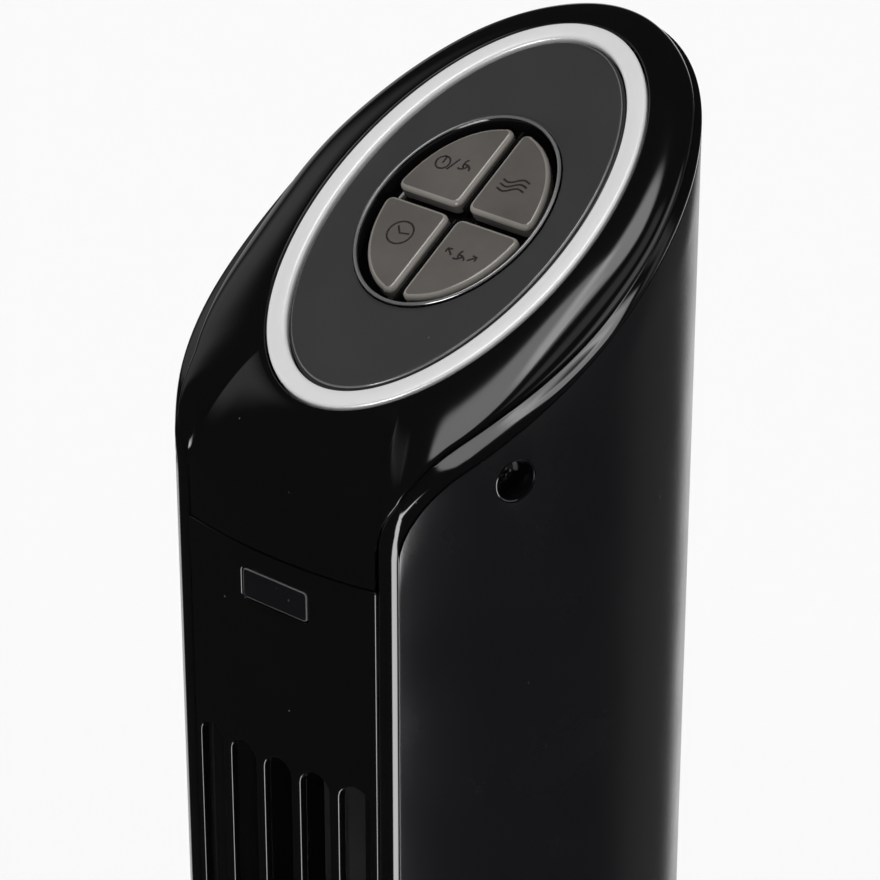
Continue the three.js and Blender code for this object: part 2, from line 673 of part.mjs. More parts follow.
// The arm under the column's spigot, with the slot that the crank's roller runs in.
function swingArm() {
  const flange = disc(44, 33.4, 36.6, { inner: 20, segments: 32 });
  const hub = disc(27, 27, 34, { inner: 22, segments: 24 });
  const armEnd = CRANK_DISTANCE + CRANK_THROW + 5;
  const arm = cut(block(21, armEnd - 24, 3, 0, 24 + (armEnd - 24) / 2, 28.5), disc(21.5, 20, 40, { segments: 24 }));
  const half = ROLLER_RADIUS + SLOT_CLEARANCE;
  const inner = 40;
  const slot = block(half * 2, CRANK_DISTANCE + CRANK_THROW - inner, 8, 0,
    (CRANK_DISTANCE + CRANK_THROW + inner) / 2, 28.5);
  const ends = [inner, CRANK_DISTANCE + CRANK_THROW].map((y) => disc(half - 0.6, 20, 32, { y, segments: 16 }));
  const end = disc(10.5, 27, 30, { y: CRANK_DISTANCE + CRANK_THROW, segments: 20 });
  return cut(join(flange, hub, arm, end), slot, ...ends);
}

function swingMotor() {
  const body = disc(24, 6.1, 21, { y: CRANK_DISTANCE, segments: 28 });
  const ears = block(62, 8, 1.6, 0, CRANK_DISTANCE, 20.2);
  return join(body, ears);
}

function crankDisc() {
  const wheel = disc(CRANK_THROW + 5, 22.2, 25, { y: CRANK_DISTANCE, segments: 28 });
  const pin = disc(1.8, 24, 30.6, { y: CRANK_DISTANCE + CRANK_THROW, segments: 12 });
  const boss = disc(5, 21.4, 26.4, { y: CRANK_DISTANCE, segments: 12 });
  return join(wheel, pin, boss);
}

function crankRoller() {
  return disc(ROLLER_RADIUS, 25.3, 30.3, { inner: 1.8 + GAP, y: CRANK_DISTANCE + CRANK_THROW, segments: 14 });
}

function cordGland() {
  const body = join(alongY(4.7, 118, 134.6, GLAND_Z), alongY(7.2, 127, 131, GLAND_Z));
  return cut(body, alongY(3.4, 110, 140, GLAND_Z));
}

const atAngle = (radius, degrees) => {
  const angle = THREE.MathUtils.degToRad(degrees);
  return [radius * Math.cos(angle), radius * Math.sin(angle)];
};

function rubberFoot(index) {
  const [x, y] = atAngle(112, 45 + (index * 360) / FEET);
  return disc(9, 0, 3, { x, y, segments: 16 });
}

function baseScrewPlaces() {
  return [20, 160, 200, 340].map((degrees) => atAngle(125, degrees));
}

function baseScrew([x, y]) {
  const head = disc(3.4, 1.2, 3, { x, y, segments: 12 });
  const shank = disc(1.7, 2.5, 10.5, { x, y, segments: 8 });
  return join(head, shank);
}

// ---- assembly ----------------------------------------------------------------------

const tower = new THREE.Group();
const base = new THREE.Group();
const fan = new THREE.Group();
fan.add(base, tower);

function place(group, name, manifold, material) {
  const mesh = new THREE.Mesh(geometryOf(manifold), material);
  mesh.name = name;
  group.add(mesh);
}

place(base, 'base_cover', baseCover(), glossBlack);
place(base, 'base_plate', basePlate(), satinBlack);
place(base, 'ballast_weight', ballast(), steel);
place(base, 'bearing_ring', bearingRing(), acetal);
place(base, 'swing_motor', swingMotor(), steel);
place(base, 'crank_disc', crankDisc(), acetal);
place(base, 'crank_roller', crankRoller(), acetal);
place(base, 'cord_gland', cordGland(), rubber);
for (let i = 0; i < FEET; i += 1) place(base, `rubber_foot_${i + 1}`, rubberFoot(i), rubber);
baseScrewPlaces().forEach((at, i) => place(base, `base_screw_${i + 1}`, baseScrew(at), steel));

place(tower, 'swing_arm', swingArm(), acetal);
place(tower, 'tower_foot', towerFoot(), glossBlack);
place(tower, 'front_frame', frontFrame(), glossBlack);
place(tower, 'front_grille', frontGrille(), glossBlack);
place(tower, 'rear_shell', rearShell(), satinBlack);
place(tower, 'ir_window', irWindow(), darkGrey);
place(tower, 'ir_receiver', irReceiver(), glossBlack);
place(tower, 'shell_screw_right', shellScrew(1), steel);
place(tower, 'shell_screw_left', shellScrew(-1), steel);
place(tower, 'scroll_wall', scrollWall(), satinBlack);
place(tower, 'vortex_tongue', vortexTongue(), satinBlack);
place(tower, 'upper_end_plate', endPlate(upperPlateZ, 8), satinBlack);
place(tower, 'lower_end_plate', endPlate(lowerPlateZ, 8), satinBlack);
place(tower, 'upper_bush', bearingBush(upperPlateZ, upperPlateZ + 5), rubber);
place(tower, 'lower_bush', bearingBush(lowerPlateZ - 0.2, lowerPlateZ + PLATE), steel);
place(tower, 'impeller', impeller(), satinBlack);
place(tower, 'impeller_shaft', impellerShaft(), steel);
place(tower, 'motor_rotor', motorRotor(), steel);
place(tower, 'motor_can', motorCan(), steel);
place(tower, 'stator_core', statorCore(), steel);
place(tower, 'winding_lower', statorWinding(86, 93.7), copper);
place(tower, 'winding_upper', statorWinding(114.3, 122), copper);
place(tower, 'capacitor', capacitor(), satinBlack);
place(tower, 'power_board', powerBoard(), boardGreen);

place(tower, 'top_cap', topCap(), glossBlack);
place(tower, 'trim_ring', trimRing(), silver);
place(tower, 'fascia_panel', fasciaPanel(), darkGrey);
place(tower, 'control_deck', controlDeck(), satinBlack);
place(tower, 'button_bezel', buttonBezel(), glossBlack);
place(tower, 'control_board', controlBoard(), boardGreen);
for (const spec of BUTTONS) {
  place(tower, spec.name, button(spec), smoke);
  place(tower, spec.name.replace('button', 'switch'), tactSwitch(spec), darkGrey);
}

export default fan;
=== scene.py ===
import math

import bmesh
import bpy
import numpy as np
from mathutils import Matrix, Vector


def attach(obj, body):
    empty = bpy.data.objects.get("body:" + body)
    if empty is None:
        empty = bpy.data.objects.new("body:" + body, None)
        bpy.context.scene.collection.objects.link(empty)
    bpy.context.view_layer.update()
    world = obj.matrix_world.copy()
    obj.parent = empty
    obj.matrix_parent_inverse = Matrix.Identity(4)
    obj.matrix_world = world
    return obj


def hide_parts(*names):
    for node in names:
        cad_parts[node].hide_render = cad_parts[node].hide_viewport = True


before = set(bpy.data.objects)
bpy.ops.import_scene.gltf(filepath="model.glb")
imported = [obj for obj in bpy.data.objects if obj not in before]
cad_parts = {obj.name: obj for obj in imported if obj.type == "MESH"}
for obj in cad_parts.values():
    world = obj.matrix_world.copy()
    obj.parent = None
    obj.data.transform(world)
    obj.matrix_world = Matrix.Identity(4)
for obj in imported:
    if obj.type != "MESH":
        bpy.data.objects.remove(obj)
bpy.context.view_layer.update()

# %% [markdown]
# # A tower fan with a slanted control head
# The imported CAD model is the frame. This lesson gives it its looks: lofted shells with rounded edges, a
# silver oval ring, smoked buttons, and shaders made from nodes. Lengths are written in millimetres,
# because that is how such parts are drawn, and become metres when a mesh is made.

MM = 0.001
SCENE = bpy.context.scene

# %% [markdown]
# ## Dimensions
# The column is an ellipse whose front is cut to a shallow arc. Its top is cut on a slant, and the ring,
# the dark panel and the buttons all lie square to that slant. These are the numbers of the CAD model.

# %% Dimensions in millimetres
HALF_WIDTH, HALF_DEPTH = 55.9, 78.6
FRONT_Y, FRONT_RADIUS = -64.5, 157.0
FACE_HALF, STRIP = 31.2, 5.4
WALL, GAP, CORNER_GAP = 2.2, 0.3, 0.7
SLANT = math.radians(28.7)
RING_CENTRE = np.array([0.0, 6.8, 745.0])
RING_HALF = (39.7, 65.1)
RING_BAND, RING_DEPTH, RING_GROOVE, RING_PROUD = 5.2, 3.3, 0.6, 0.5
PAD_HALF = (24.7, 31.8)
BUTTON_HALF = (21.4, 28.4)
BUTTON_GAP = 2.6
SEAM = {"start": FACE_HALF, "front": 3.1, "back": 7.2, "corner": 20.5, "height": 18.0}
EDGE = {"start": FACE_HALF + STRIP, "front": 9.0, "back": 10.5, "corner": 16.0, "height": 14.5}
SEAM_SETTLES = (52.0, 105.0)
SEAM_INSET, RIM_LIP = 2.0, 1.2
CORNER_LEAN = {"inset": 1.5, "sag": 1.3, "grows": (36.0, 52.0), "fades": (80.0, 125.0)}
BACK_LEAN = {"inset": 0.9, "grows": (160.0, 195.0)}
SHOULDER_FRONT_DROP, SHOULDER_POWER = 17.9, 1.74
CAP_FRONT_Z, BODY_Z = 676.0, 76.0
BASE_RADIUS = 135.0
print("ring", RING_HALF, "slant", round(math.degrees(SLANT), 1))

# %% [markdown]
# ## Camera
# A long lens looks down on the head from the front right. The camera is turned by a matrix whose columns
# are its right, up and backward directions, so nothing depends on where a target happens to be.

# %% Camera
AZIMUTH, ELEVATION = math.radians(39.51), math.radians(27.91)
SENSOR = 36.0
LENS = 161.7
DISTANCE = 988.2
OFF_RIGHT, OFF_UP = 4.17, 57.8

camera_back = Vector((math.sin(AZIMUTH) * math.cos(ELEVATION),
                      -math.cos(AZIMUTH) * math.cos(ELEVATION), math.sin(ELEVATION)))
camera_right = Vector((math.cos(AZIMUTH), math.sin(AZIMUTH), 0))
camera_up = camera_back.cross(camera_right)
camera_place = (Vector(RING_CENTRE) - camera_right * OFF_RIGHT - camera_up * OFF_UP
                + camera_back * DISTANCE) * MM
camera_data = bpy.data.cameras.new("camera")
camera_data.lens, camera_data.sensor_width = LENS, SENSOR
camera_data.clip_start, camera_data.clip_end = 0.05, 60
camera = bpy.data.objects.new("camera", camera_data)
turn = Matrix((camera_right, camera_up, camera_back)).transposed().to_4x4()
camera.matrix_world = Matrix.Translation(camera_place) @ turn
SCENE.collection.objects.link(camera)
SCENE.camera = camera
SCENE.view_settings.view_transform = "Standard"
print("camera at", [round(v, 3) for v in camera_place])

# %% [markdown]
# ## Shader effects as node groups
# Three effects recur on this object: dust specks, a slow change of gloss where hands and cloths have
# been, and the fine grain of a satin mould. Each is built once as a group with named inputs, and put out
# as a mask, a value or a height that the material's own shader reads.

# %% A small language for node trees
FLOAT = "NodeSocketFloat"


def new_group(name, kind, inputs, outputs):
    """A node group, with the sockets that its inside reads and the sockets that it fills."""
    tree = bpy.data.node_groups.new(name, kind)
    for title, socket, default in inputs:
        made = tree.interface.new_socket(name=title, in_out="INPUT", socket_type=socket)
        if default is not None:
            made.default_value = default
    for title, socket in outputs:
        tree.interface.new_socket(name=title, in_out="OUTPUT", socket_type=socket)
    return tree, tree.nodes.new("NodeGroupInput").outputs, tree.nodes.new("NodeGroupOutput").inputs


def put(tree, kind, settings=None, **links):
    """Adds a node; a link's value is a node or socket to join, or a number to set."""
    node = tree.nodes.new(kind)
    for key, value in (settings or {}).items():
        setattr(node, key, value)
    for key, value in links.items():
        socket = node.inputs[int(key[1:])] if key[0] == "i" and key[1:].isdigit() else node.inputs[key]
        if isinstance(value, bpy.types.Node):
            value = value.outputs[0]
        if isinstance(value, bpy.types.NodeSocket):
            tree.links.new(value, socket)
        else:
            socket.default_value = value
    return node


def calc(tree, operation, *values):
    """The output of a Math node; each value is a node or socket to join, or a number to set."""
    links = {f"i{place}": value for place, value in enumerate(values)}
    return put(tree, "ShaderNodeMath", {"operation": operation}, **links).outputs[0]


# %% Dust specks
dust_group, dust_in, dust_out = new_group(
    "Dust specks", "ShaderNodeTree",
    [("Scale", FLOAT, 260.0), ("Size", FLOAT, 0.05), ("Share", FLOAT, 0.1)],
    [("Mask", FLOAT)])
place = put(dust_group, "ShaderNodeTexCoord").outputs["Object"]
cells = put(dust_group, "ShaderNodeTexVoronoi", i0=place, Scale=dust_in["Scale"])
near = calc(dust_group, "LESS_THAN", cells.outputs["Distance"], dust_in["Size"])
pick = put(dust_group, "ShaderNodeSeparateColor", i0=cells.outputs["Color"])
kept = calc(dust_group, "LESS_THAN", pick, dust_in["Share"])
both = calc(dust_group, "MULTIPLY", near, kept)
dust_group.links.new(both, dust_out["Mask"])

# %% Slow change of gloss
haze_group, haze_in, haze_out = new_group(
    "Gloss haze", "ShaderNodeTree",
    [("Scale", FLOAT, 30.0), ("Low", FLOAT, 0.1), ("High", FLOAT, 0.2)],
    [("Roughness", FLOAT)])
place = put(haze_group, "ShaderNodeTexCoord").outputs["Object"]
cloud = put(haze_group, "ShaderNodeTexNoise", Vector=place, Scale=haze_in["Scale"], Detail=5.0)
level = put(haze_group, "ShaderNodeMapRange", i0=cloud, i1=0.3, i2=0.7,
            i3=haze_in["Low"], i4=haze_in["High"])
haze_group.links.new(level.outputs[0], haze_out["Roughness"])

# %% Moulded grain
grain_group, grain_in, grain_out = new_group(
    "Moulded grain", "ShaderNodeTree",
    [("Scale", FLOAT, 2500.0), ("Waviness", FLOAT, 0.3)], [("Height", FLOAT)])
place = put(grain_group, "ShaderNodeTexCoord").outputs["Object"]
fine = put(grain_group, "ShaderNodeTexNoise", Vector=place, Scale=grain_in["Scale"], Detail=3.0)
slow = put(grain_group, "ShaderNodeTexNoise", Vector=place, Scale=18.0, Detail=2.0)
swell = calc(grain_group, "MULTIPLY", slow, grain_in["Waviness"])
height = calc(grain_group, "ADD", fine.outputs[0], swell)
grain_group.links.new(height, grain_out["Height"])
print("groups", [g.name for g in bpy.data.node_groups])

# %% [markdown]
# ## Finishes
# Every finish is a Principled shader. What is the same all over is set on the shader's own sockets; what
# changes over the surface comes from the groups: dust tints the colour, haze moves the roughness and
# grain feeds a Bump node.

# %% Finish maker
def add_group(tree, group, **values):
    node = tree.nodes.new("ShaderNodeGroup")
    node.node_tree = group
    for key, value in values.items():
        node.inputs[key].default_value = value
    return node


def finish(name, colour, rough, metallic=0.0, specular=0.5, coat=0.0, dust=0.05, dust_colour=(0.3, 0.3, 0.3),
           grain=None, bump=0.05, haze_scale=30.0, tint=0.15):
    material = bpy.data.materials.new(name)
    material.use_nodes = True
    tree = material.node_tree
    shader = tree.nodes["Principled BSDF"]
    shader.inputs["Metallic"].default_value = metallic
    shader.inputs["Specular IOR Level"].default_value = specular
    shader.inputs["Coat Weight"].default_value = coat
    shader.inputs["Coat Roughness"].default_value = 0.06
    haze = add_group(tree, haze_group, Scale=haze_scale, Low=rough[0], High=rough[1])
    tree.links.new(haze.outputs[0], shader.inputs["Roughness"])
    place = put(tree, "ShaderNodeTexCoord").outputs["Object"]
    cloud = put(tree, "ShaderNodeTexNoise", Vector=place, Scale=55.0, Detail=4.0)
    shades = [tuple(c * k for c in colour) + (1.0,) for k in (1 - tint, 1 + tint)]
    base = put(tree, "ShaderNodeMix", {"data_type": "RGBA"}, i0=cloud, i6=shades[0], i7=shades[1])
    specks = add_group(tree, dust_group, Scale=230.0, Size=0.055, Share=dust)
    dusty = put(tree, "ShaderNodeMix", {"data_type": "RGBA"}, i0=specks,
                i6=base.outputs[2], i7=dust_colour + (1.0,))
    tree.links.new(dusty.outputs[2], shader.inputs["Base Color"])
    if grain:
        surface = add_group(tree, grain_group, Scale=grain, Waviness=0.3)
        relief = put(tree, "ShaderNodeBump", Height=surface, Strength=bump, Distance=0.0002)
        tree.links.new(relief.outputs[0], shader.inputs["Normal"])
    return material


# %% The finishes of this fan
GLOSS = finish("gloss black", (0.0035, 0.0035, 0.0038), (0.06, 0.10), specular=0.5, dust=0.03,
               dust_colour=(0.09, 0.09, 0.09))
SATIN = finish("satin black", (0.0065, 0.0065, 0.0075), (0.22, 0.29), specular=0.45, dust=0.03,
               dust_colour=(0.08, 0.08, 0.08), grain=1800.0, bump=0.10)
FASCIA = finish("fascia grey", (0.030, 0.030, 0.031), (0.36, 0.46), specular=0.35, dust=0.05,
                dust_colour=(0.12, 0.12, 0.12), grain=3200.0, bump=0.08)
SILVER = finish("ring silver", (0.80, 0.80, 0.805), (0.28, 0.36), metallic=0.22, dust=0.02,
                dust_colour=(0.5, 0.5, 0.5), grain=4200.0, bump=0.05, tint=0.03)
SMOKE = finish("smoked button", (0.105, 0.096, 0.088), (0.10, 0.22), specular=0.6, coat=0.3, dust=0.06,
               dust_colour=(0.3, 0.28, 0.25), tint=0.35)
# A lighter copy of the smoked finish for the buttons' rolled edges: a painted highlight in place of the light
# those edges catch.
SMOKE_EDGE_PAINTED_HIGHLIGHT = finish("smoked button edge", (0.24, 0.225, 0.205), (0.08, 0.16), specular=0.6, coat=0.3,
                    dust=0.0, tint=0.25)
# A light grey, half-metal finish on thin rounded edges of the head and the window: a painted highlight in
# place of the lines of light on those edges.
RIM_PAINTED_HIGHLIGHT = finish("bright rim", (0.30, 0.30, 0.30), (0.12, 0.2), metallic=0.6, dust=0.0)
INK = finish("icon ink", (0.010, 0.009, 0.008), (0.4, 0.5), dust=0.0)
WINDOW = finish("infrared window", (0.006, 0.006, 0.007), (0.05, 0.16), specular=0.6, dust=0.25,
                dust_colour=(0.08, 0.08, 0.08))
RUBBER = finish("black rubber", (0.012, 0.012, 0.012), (0.6, 0.75), specular=0.3, grain=1500.0, bump=0.2)
STEEL = finish("zinc steel", (0.42, 0.43, 0.44), (0.28, 0.42), metallic=1.0, grain=900.0, bump=0.05)
BLACK_STEEL = finish("blackened steel", (0.025, 0.025, 0.026), (0.35, 0.5), metallic=1.0, dust=0.0)
COPPER = finish("wound copper", (0.45, 0.17, 0.06), (0.25, 0.4), metallic=1.0, grain=700.0, bump=0.3)
ACETAL = finish("acetal", (0.78, 0.77, 0.72), (0.38, 0.5), dust=0.01, grain=1600.0)
BOARD = finish("board green", (0.03, 0.14, 0.05), (0.3, 0.45), grain=600.0)
INNER = finish("inner black", (0.006, 0.006, 0.006), (0.6, 0.75), specular=0.1, grain=900.0)
print(len(bpy.data.materials), "finishes")

# %% [markdown]
# ## Meshes from rows
# A shell is a row of sections: each section is a closed loop of points, and neighbouring sections are
# joined by quads. This is how a surfacing program lofts, and it puts every vertex where it is wanted.
# Edges sharper than a limit are marked, so that smooth shading stops there.

# %% Lofting helpers
home = {}


def mark_sharp(bm, limit):
    for edge in bm.edges:
        edge.smooth = edge.calc_face_angle(math.pi) < math.radians(limit)


def finish_mesh(name, bm, material, body="tower", sharp=38.0):
    bmesh.ops.remove_doubles(bm, verts=bm.verts, dist=1e-4)
    bmesh.ops.recalc_face_normals(bm, faces=bm.faces)
    mark_sharp(bm, sharp)
    for face in bm.faces:
        face.smooth = True
    bmesh.ops.scale(bm, vec=(MM, MM, MM), verts=bm.verts)
    mesh = bpy.data.meshes.new(name)
    bm.to_mesh(mesh)
    bm.free()
    piece = bpy.data.objects.new(name, mesh)
    SCENE.collection.objects.link(piece)
    mesh.materials.append(material)
    home[name] = body
    return piece


def join_rows(bm, rows, loops):
    """Quads between neighbouring sections; loops joins the last to the first, or both ends are capped."""
    count = len(rows[0])
    pairs = list(zip(rows, rows[1:])) + ([(rows[-1], rows[0])] if loops else [])
    for one, two in pairs:
        for i in range(count):
            j = (i + 1) % count
            bm.faces.new((one[i], one[j], two[j], two[i]))
    if not loops:
        bm.faces.new(rows[0])
        bm.faces.new(rows[-1])


def loft(rows, loops):
    """A bmesh through closed sections."""
    bm = bmesh.new()
    join_rows(bm, [[bm.verts.new(point) for point in row] for row in rows], loops)
    return bm


def second_finish(piece, material, chosen):
    """Gives the material to the faces that chosen picks."""
    piece.data.materials.append(material)
    for face in piece.data.polygons:
        face.material_index = int(chosen(face))


def round_angles(count):
    return np.linspace(0, 2 * math.pi, count, endpoint=False)


def smoothstep(value, low, high):
    t = np.clip((value - low) / (high - low), 0, 1)
    return t * t * (3 - 2 * t)


def settle(piece):
    """A finished piece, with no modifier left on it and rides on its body."""
    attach(piece, home[piece.name])


def put_on(piece, *nodes):
    """The piece stands for these CAD nodes, which are hidden, and rides on its body."""
    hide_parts(*nodes)
    settle(piece)


# %% [markdown]
# ## The column's outline
# Places on the column are given as a distance along its outline from the middle of the front, and an
# inset from it. The outline is measured once as a fine polyline with outward normals.

# %% Outline
def measured_outline(steps=4000):
    face_angle = math.asin(FACE_HALF / FRONT_RADIUS)
    strip_x = FACE_HALF + STRIP
    ellipse_angle = math.acos(strip_x / HALF_WIDTH)
    face_end = np.array([FACE_HALF, FRONT_Y + FRONT_RADIUS * (1 - math.cos(face_angle))])
    strip_end = np.array([strip_x, -HALF_DEPTH * math.sin(ellipse_angle)])
    middle = np.array([strip_x - 1.1, face_end[1] + 0.9])
    arc = np.linspace(0, face_angle, steps // 4)
    front = np.stack([FRONT_RADIUS * np.sin(arc), FRONT_Y + FRONT_RADIUS * (1 - np.cos(arc))], 1)
    t = np.linspace(0, 1, 60)[1:, None]
    corner = (1 - t) ** 2 * face_end + 2 * t * (1 - t) * middle + t * t * strip_end
    sweep = np.linspace(-ellipse_angle, math.pi / 2, steps)[1:]
    side = np.stack([HALF_WIDTH * np.cos(sweep), HALF_DEPTH * np.sin(sweep)], 1)
    points = np.concatenate([front, corner, side])
    lengths = np.concatenate([[0], np.cumsum(np.linalg.norm(np.diff(points, axis=0), axis=1))])
    tangents = np.gradient(points, lengths, axis=0)
    tangents /= np.linalg.norm(tangents, axis=1)[:, None]
    return lengths, points, tangents


OUTLINE = measured_outline()
HALF_GIRTH = OUTLINE[0][-1]


def wall(along, inset=0.0):
    """The plan point at a signed distance along the outline, moved inwards by inset."""
    lengths, points, tangents = OUTLINE
    place = min(abs(along), HALF_GIRTH)
    x, y, tx, ty = (np.interp(place, lengths, column) for column in (*points.T, *tangents.T))
    side = -1 if along < 0 else 1
    if HALF_GIRTH - place < 1e-6:
        x, tx, ty = 0.0, -1.0, 0.0
    return np.array([side * (x - ty * inset), y + tx * inset])


def ring_plane_z(y):
    return RING_CENTRE[2] + (y - RING_CENTRE[1]) * math.tan(SLANT)


def corner_lean(along):
    """Share of the extra lean that the rim has at the two front corners."""
    return smoothstep(abs(along), *CORNER_LEAN["grows"]) * (1 - smoothstep(abs(along), *CORNER_LEAN["fades"]))


def rim_inset(along):
    return float(SEAM_INSET + CORNER_LEAN["inset"] * corner_lean(along)
                 + BACK_LEAN["inset"] * smoothstep(abs(along), *BACK_LEAN["grows"]))


def seam_drop(seam, along):
    """How far a seam lies under the ring plane: level along the side, falling at its front corner."""
    place = abs(along)
    level = seam["front"] + (seam["back"] - seam["front"]) * smoothstep(place, *SEAM_SETTLES)
    rise = np.clip((place - seam["start"]) / seam["corner"], 0, 1)
    sag = CORNER_LEAN["sag"] * corner_lean(along) if seam is SEAM else 0.0
    return level + sag + seam["height"] * (1 - math.sqrt(max(0.0, 1 - (1 - rise) ** 2)))


def turn_to_side(along):
    return smoothstep(abs(along), FACE_HALF - 8, EDGE["start"] + EDGE["corner"])


def corner_steps(seam, count):
    return [seam["start"] + seam["corner"] * (1 - math.cos(a)) for a in np.linspace(0, math.pi / 2, count)]


def back_steps(seam, count):
    return list(np.linspace(seam["start"] + seam["corner"], HALF_GIRTH, count)[1:])


def mirrored(steps):
    return list(steps) + [-s for s in reversed(steps[:-1])]


print("half girth", round(float(HALF_GIRTH), 1))

# %% [markdown]
# ## Top cap
# The cap is one glossy moulding: from the ring's groove it rolls over a shoulder to a thin rim. Real
# gloss shows every edge as a line of light, so the groove's lip and the rim get small true radii, made
# as extra points in each section.

# %% Cap sections
def slant_point(x, up, height):
    """A point in the slanted head: x across, up along the slope, height square to the ring plane."""
    c, s = math.cos(SLANT), math.sin(SLANT)
    return np.array([x, RING_CENTRE[1] + up * c - height * s, RING_CENTRE[2] + up * s + height * c])


def shoulder(along, depth, thickness, low, turns):
    side = float(turn_to_side(along))
    rim = wall(along, rim_inset(along) * side + thickness)
    plan = (RING_HALF[1] + RING_GROOVE) * math.cos(SLANT)
    angle = math.atan2((rim[1] - RING_CENTRE[1]) / plan, rim[0] / RING_HALF[0])
    hole = np.array([(RING_HALF[0] + RING_GROOVE) * math.cos(angle),
                     RING_CENTRE[1] + plan * math.sin(angle) + depth * math.sin(SLANT)])
    start = depth / math.cos(SLANT)
    seam = float(seam_drop(SEAM, along))
    drop = min(SHOULDER_FRONT_DROP * (1 - side) + seam * side, seam - RIM_LIP)
    points = []
    for turn in turns:
        out = math.sin(turn) ** (2 / SHOULDER_POWER)
        fall = 1 - math.cos(turn) ** (2 / SHOULDER_POWER)
        x, y = hole + (rim - hole) * out
        z = ring_plane_z(y) - start - max(drop - start, 0) * fall
        points.append(np.array([x, y, max(z, low)]))
    return points, angle


def cap_low(along, y):
    if abs(along) < SEAM["start"] - CORNER_GAP:
        return CAP_FRONT_Z
    return ring_plane_z(y) - float(seam_drop(SEAM, abs(along) + CORNER_GAP * 0.5)) + GAP * 0.6


LIP_RADIUS, RIM_RADIUS = 0.45, 0.55
TURNS = np.linspace(0.13, math.pi / 2, 22)


def cap_section(along):
    outer, angle = shoulder(along, RING_PROUD, 0, 0, TURNS)
    lip = []
    c, s = math.cos(angle), math.sin(angle)
    half = (RING_HALF[0] + RING_GROOVE, RING_HALF[1] + RING_GROOVE)
    lip.append(slant_point(half[0] * c, half[1] * s, -4.0))
    for bend in np.linspace(0, math.pi / 2, 5):
        grow = LIP_RADIUS * (1 - math.cos(bend))
        lip.append(slant_point((half[0] + grow) * c, (half[1] + grow) * s,
                               -RING_PROUD - LIP_RADIUS * (1 - math.sin(bend))))
    rim_plan = wall(along, rim_inset(along) * float(turn_to_side(along)))
    low = cap_low(along, rim_plan[1])
    inward = wall(along, rim_inset(along) * float(turn_to_side(along)) + 1) - rim_plan
    edge = []
    for bend in np.linspace(0, math.pi / 2, 5):
        x, y = rim_plan + inward * RIM_RADIUS * (1 - math.cos(bend))
        edge.append(np.array([x, y, low + RIM_RADIUS * (1 - math.sin(bend))]))
    x, y = rim_plan + inward * 1.8
    edge += [np.array([x, y, low]), np.array([x, y, low + 0.25])]
    inner, _ = shoulder(along, RING_PROUD + 1.5, WALL, low + GAP, np.linspace(0, math.pi / 2, 7))
    inner = list(reversed(inner))
    inner[-1] = slant_point((half[0] + 1.2) * c, (half[1] + 1.2) * s, -4.0)
    return lip + outer + edge + inner


# %% Cap mesh
face = list(np.linspace(0, SEAM["start"] - CORNER_GAP - 0.02, 26))
half_steps = face + [s - CORNER_GAP for s in corner_steps(SEAM, 34)] + back_steps(SEAM, 90)
cap = finish_mesh("cap_gloss", loft([cap_section(s) for s in mirrored(half_steps)[:-1]], True), GLOSS)
put_on(cap, "top_cap")
print("cap", len(cap.data.vertices), "vertices")

# %% [markdown]
# ## Front frame
# The glossy frame shows as a strip at each side of the front, bends back at the head's corners and runs
# on under the cap. Under the cap it leans out in a small chamfer that faces up, so it catches light,
# and then drops to the rear shell.

# %% Frame sections
def frame_section(seam, edge, side):
    """From the cap's seam across the band to the rear shell's edge, and back along the inside."""
    inset = rim_inset(seam[0]) * side
    across = np.concatenate([np.linspace(0, 0.45, 6), [0.6, 0.8, 1.0]])
    rounding = 0.35
    outer = []
    for t in across:
        depth = inset * (1 - smoothstep(t, 0.0, 0.5)) if side > 0 else 0.0
        depth += rounding * (1 - min(1.0, t / 0.08)) + rounding * (1 - min(1.0, (1 - t) / 0.08))
        along = seam[0] + (edge[0] - seam[0]) * t
        outer.append(np.append(wall(along, depth), seam[1] + (edge[1] - seam[1]) * t))
    under = edge[0] - np.sign(edge[0]) * 0.4
    inner = [np.append(wall(under, WALL), edge[1]), np.append(wall(seam[0], inset + WALL), seam[1])]
    return outer + inner


def seam_z(seam, along, inset):
    return ring_plane_z(wall(along, inset)[1]) - float(seam_drop(seam, along))


STRIP_TOP, SEAM_OVERLAP = 655.0, 0.2


def band_row(seam_at, edge_at, overlap=0.0):
    """The seam's and the edge's places and heights, and the share of the turn to the side."""
    return ((seam_at + overlap, seam_z(SEAM, seam_at, rim_inset(seam_at))),
            (edge_at, seam_z(EDGE, edge_at, 0)), float(turn_to_side(seam_at)))


def frame_rows():
    rows = [((SEAM["start"] + SEAM_OVERLAP, z), (EDGE["start"], z), 0.0)
            for z in np.linspace(BODY_Z, STRIP_TOP, 12)]
    for bend in np.linspace(0, math.pi / 2, 34):
        reach = 1 - math.cos(bend)
        rows.append(band_row(SEAM["start"] + SEAM["corner"] * reach, EDGE["start"] + EDGE["corner"] * reach,
                             SEAM_OVERLAP))
    rows += [band_row(*places) for places in zip(back_steps(SEAM, 80), back_steps(EDGE, 80))]
    flipped = [((-a[0], a[1]), (-b[0], b[1]), side) for a, b, side in reversed(rows[:-1])]
    return [frame_section(*row) for row in rows + flipped]


band = finish_mesh("frame_gloss", loft(frame_rows(), False), GLOSS)
put_on(band, "front_frame")
print("frame", len(band.data.vertices), "vertices")

# %% [markdown]
# ## Rear shell
# A satin shell wraps the sides and back. Its wall is lofted along the outline; the screw recess is cut
# by a boolean, the intake slots by a Geometry Nodes tree that sets one cutter per slot on a curve round
# the back, and a Bevel modifier rounds all the rims in one go.

# %% Shell wall
SHELL_LEVELS = [0, 0.12, 0.25, 0.4, 0.55, 0.7, 0.8, 0.87, 0.91, 0.94, 0.96, 0.98, 1.0]


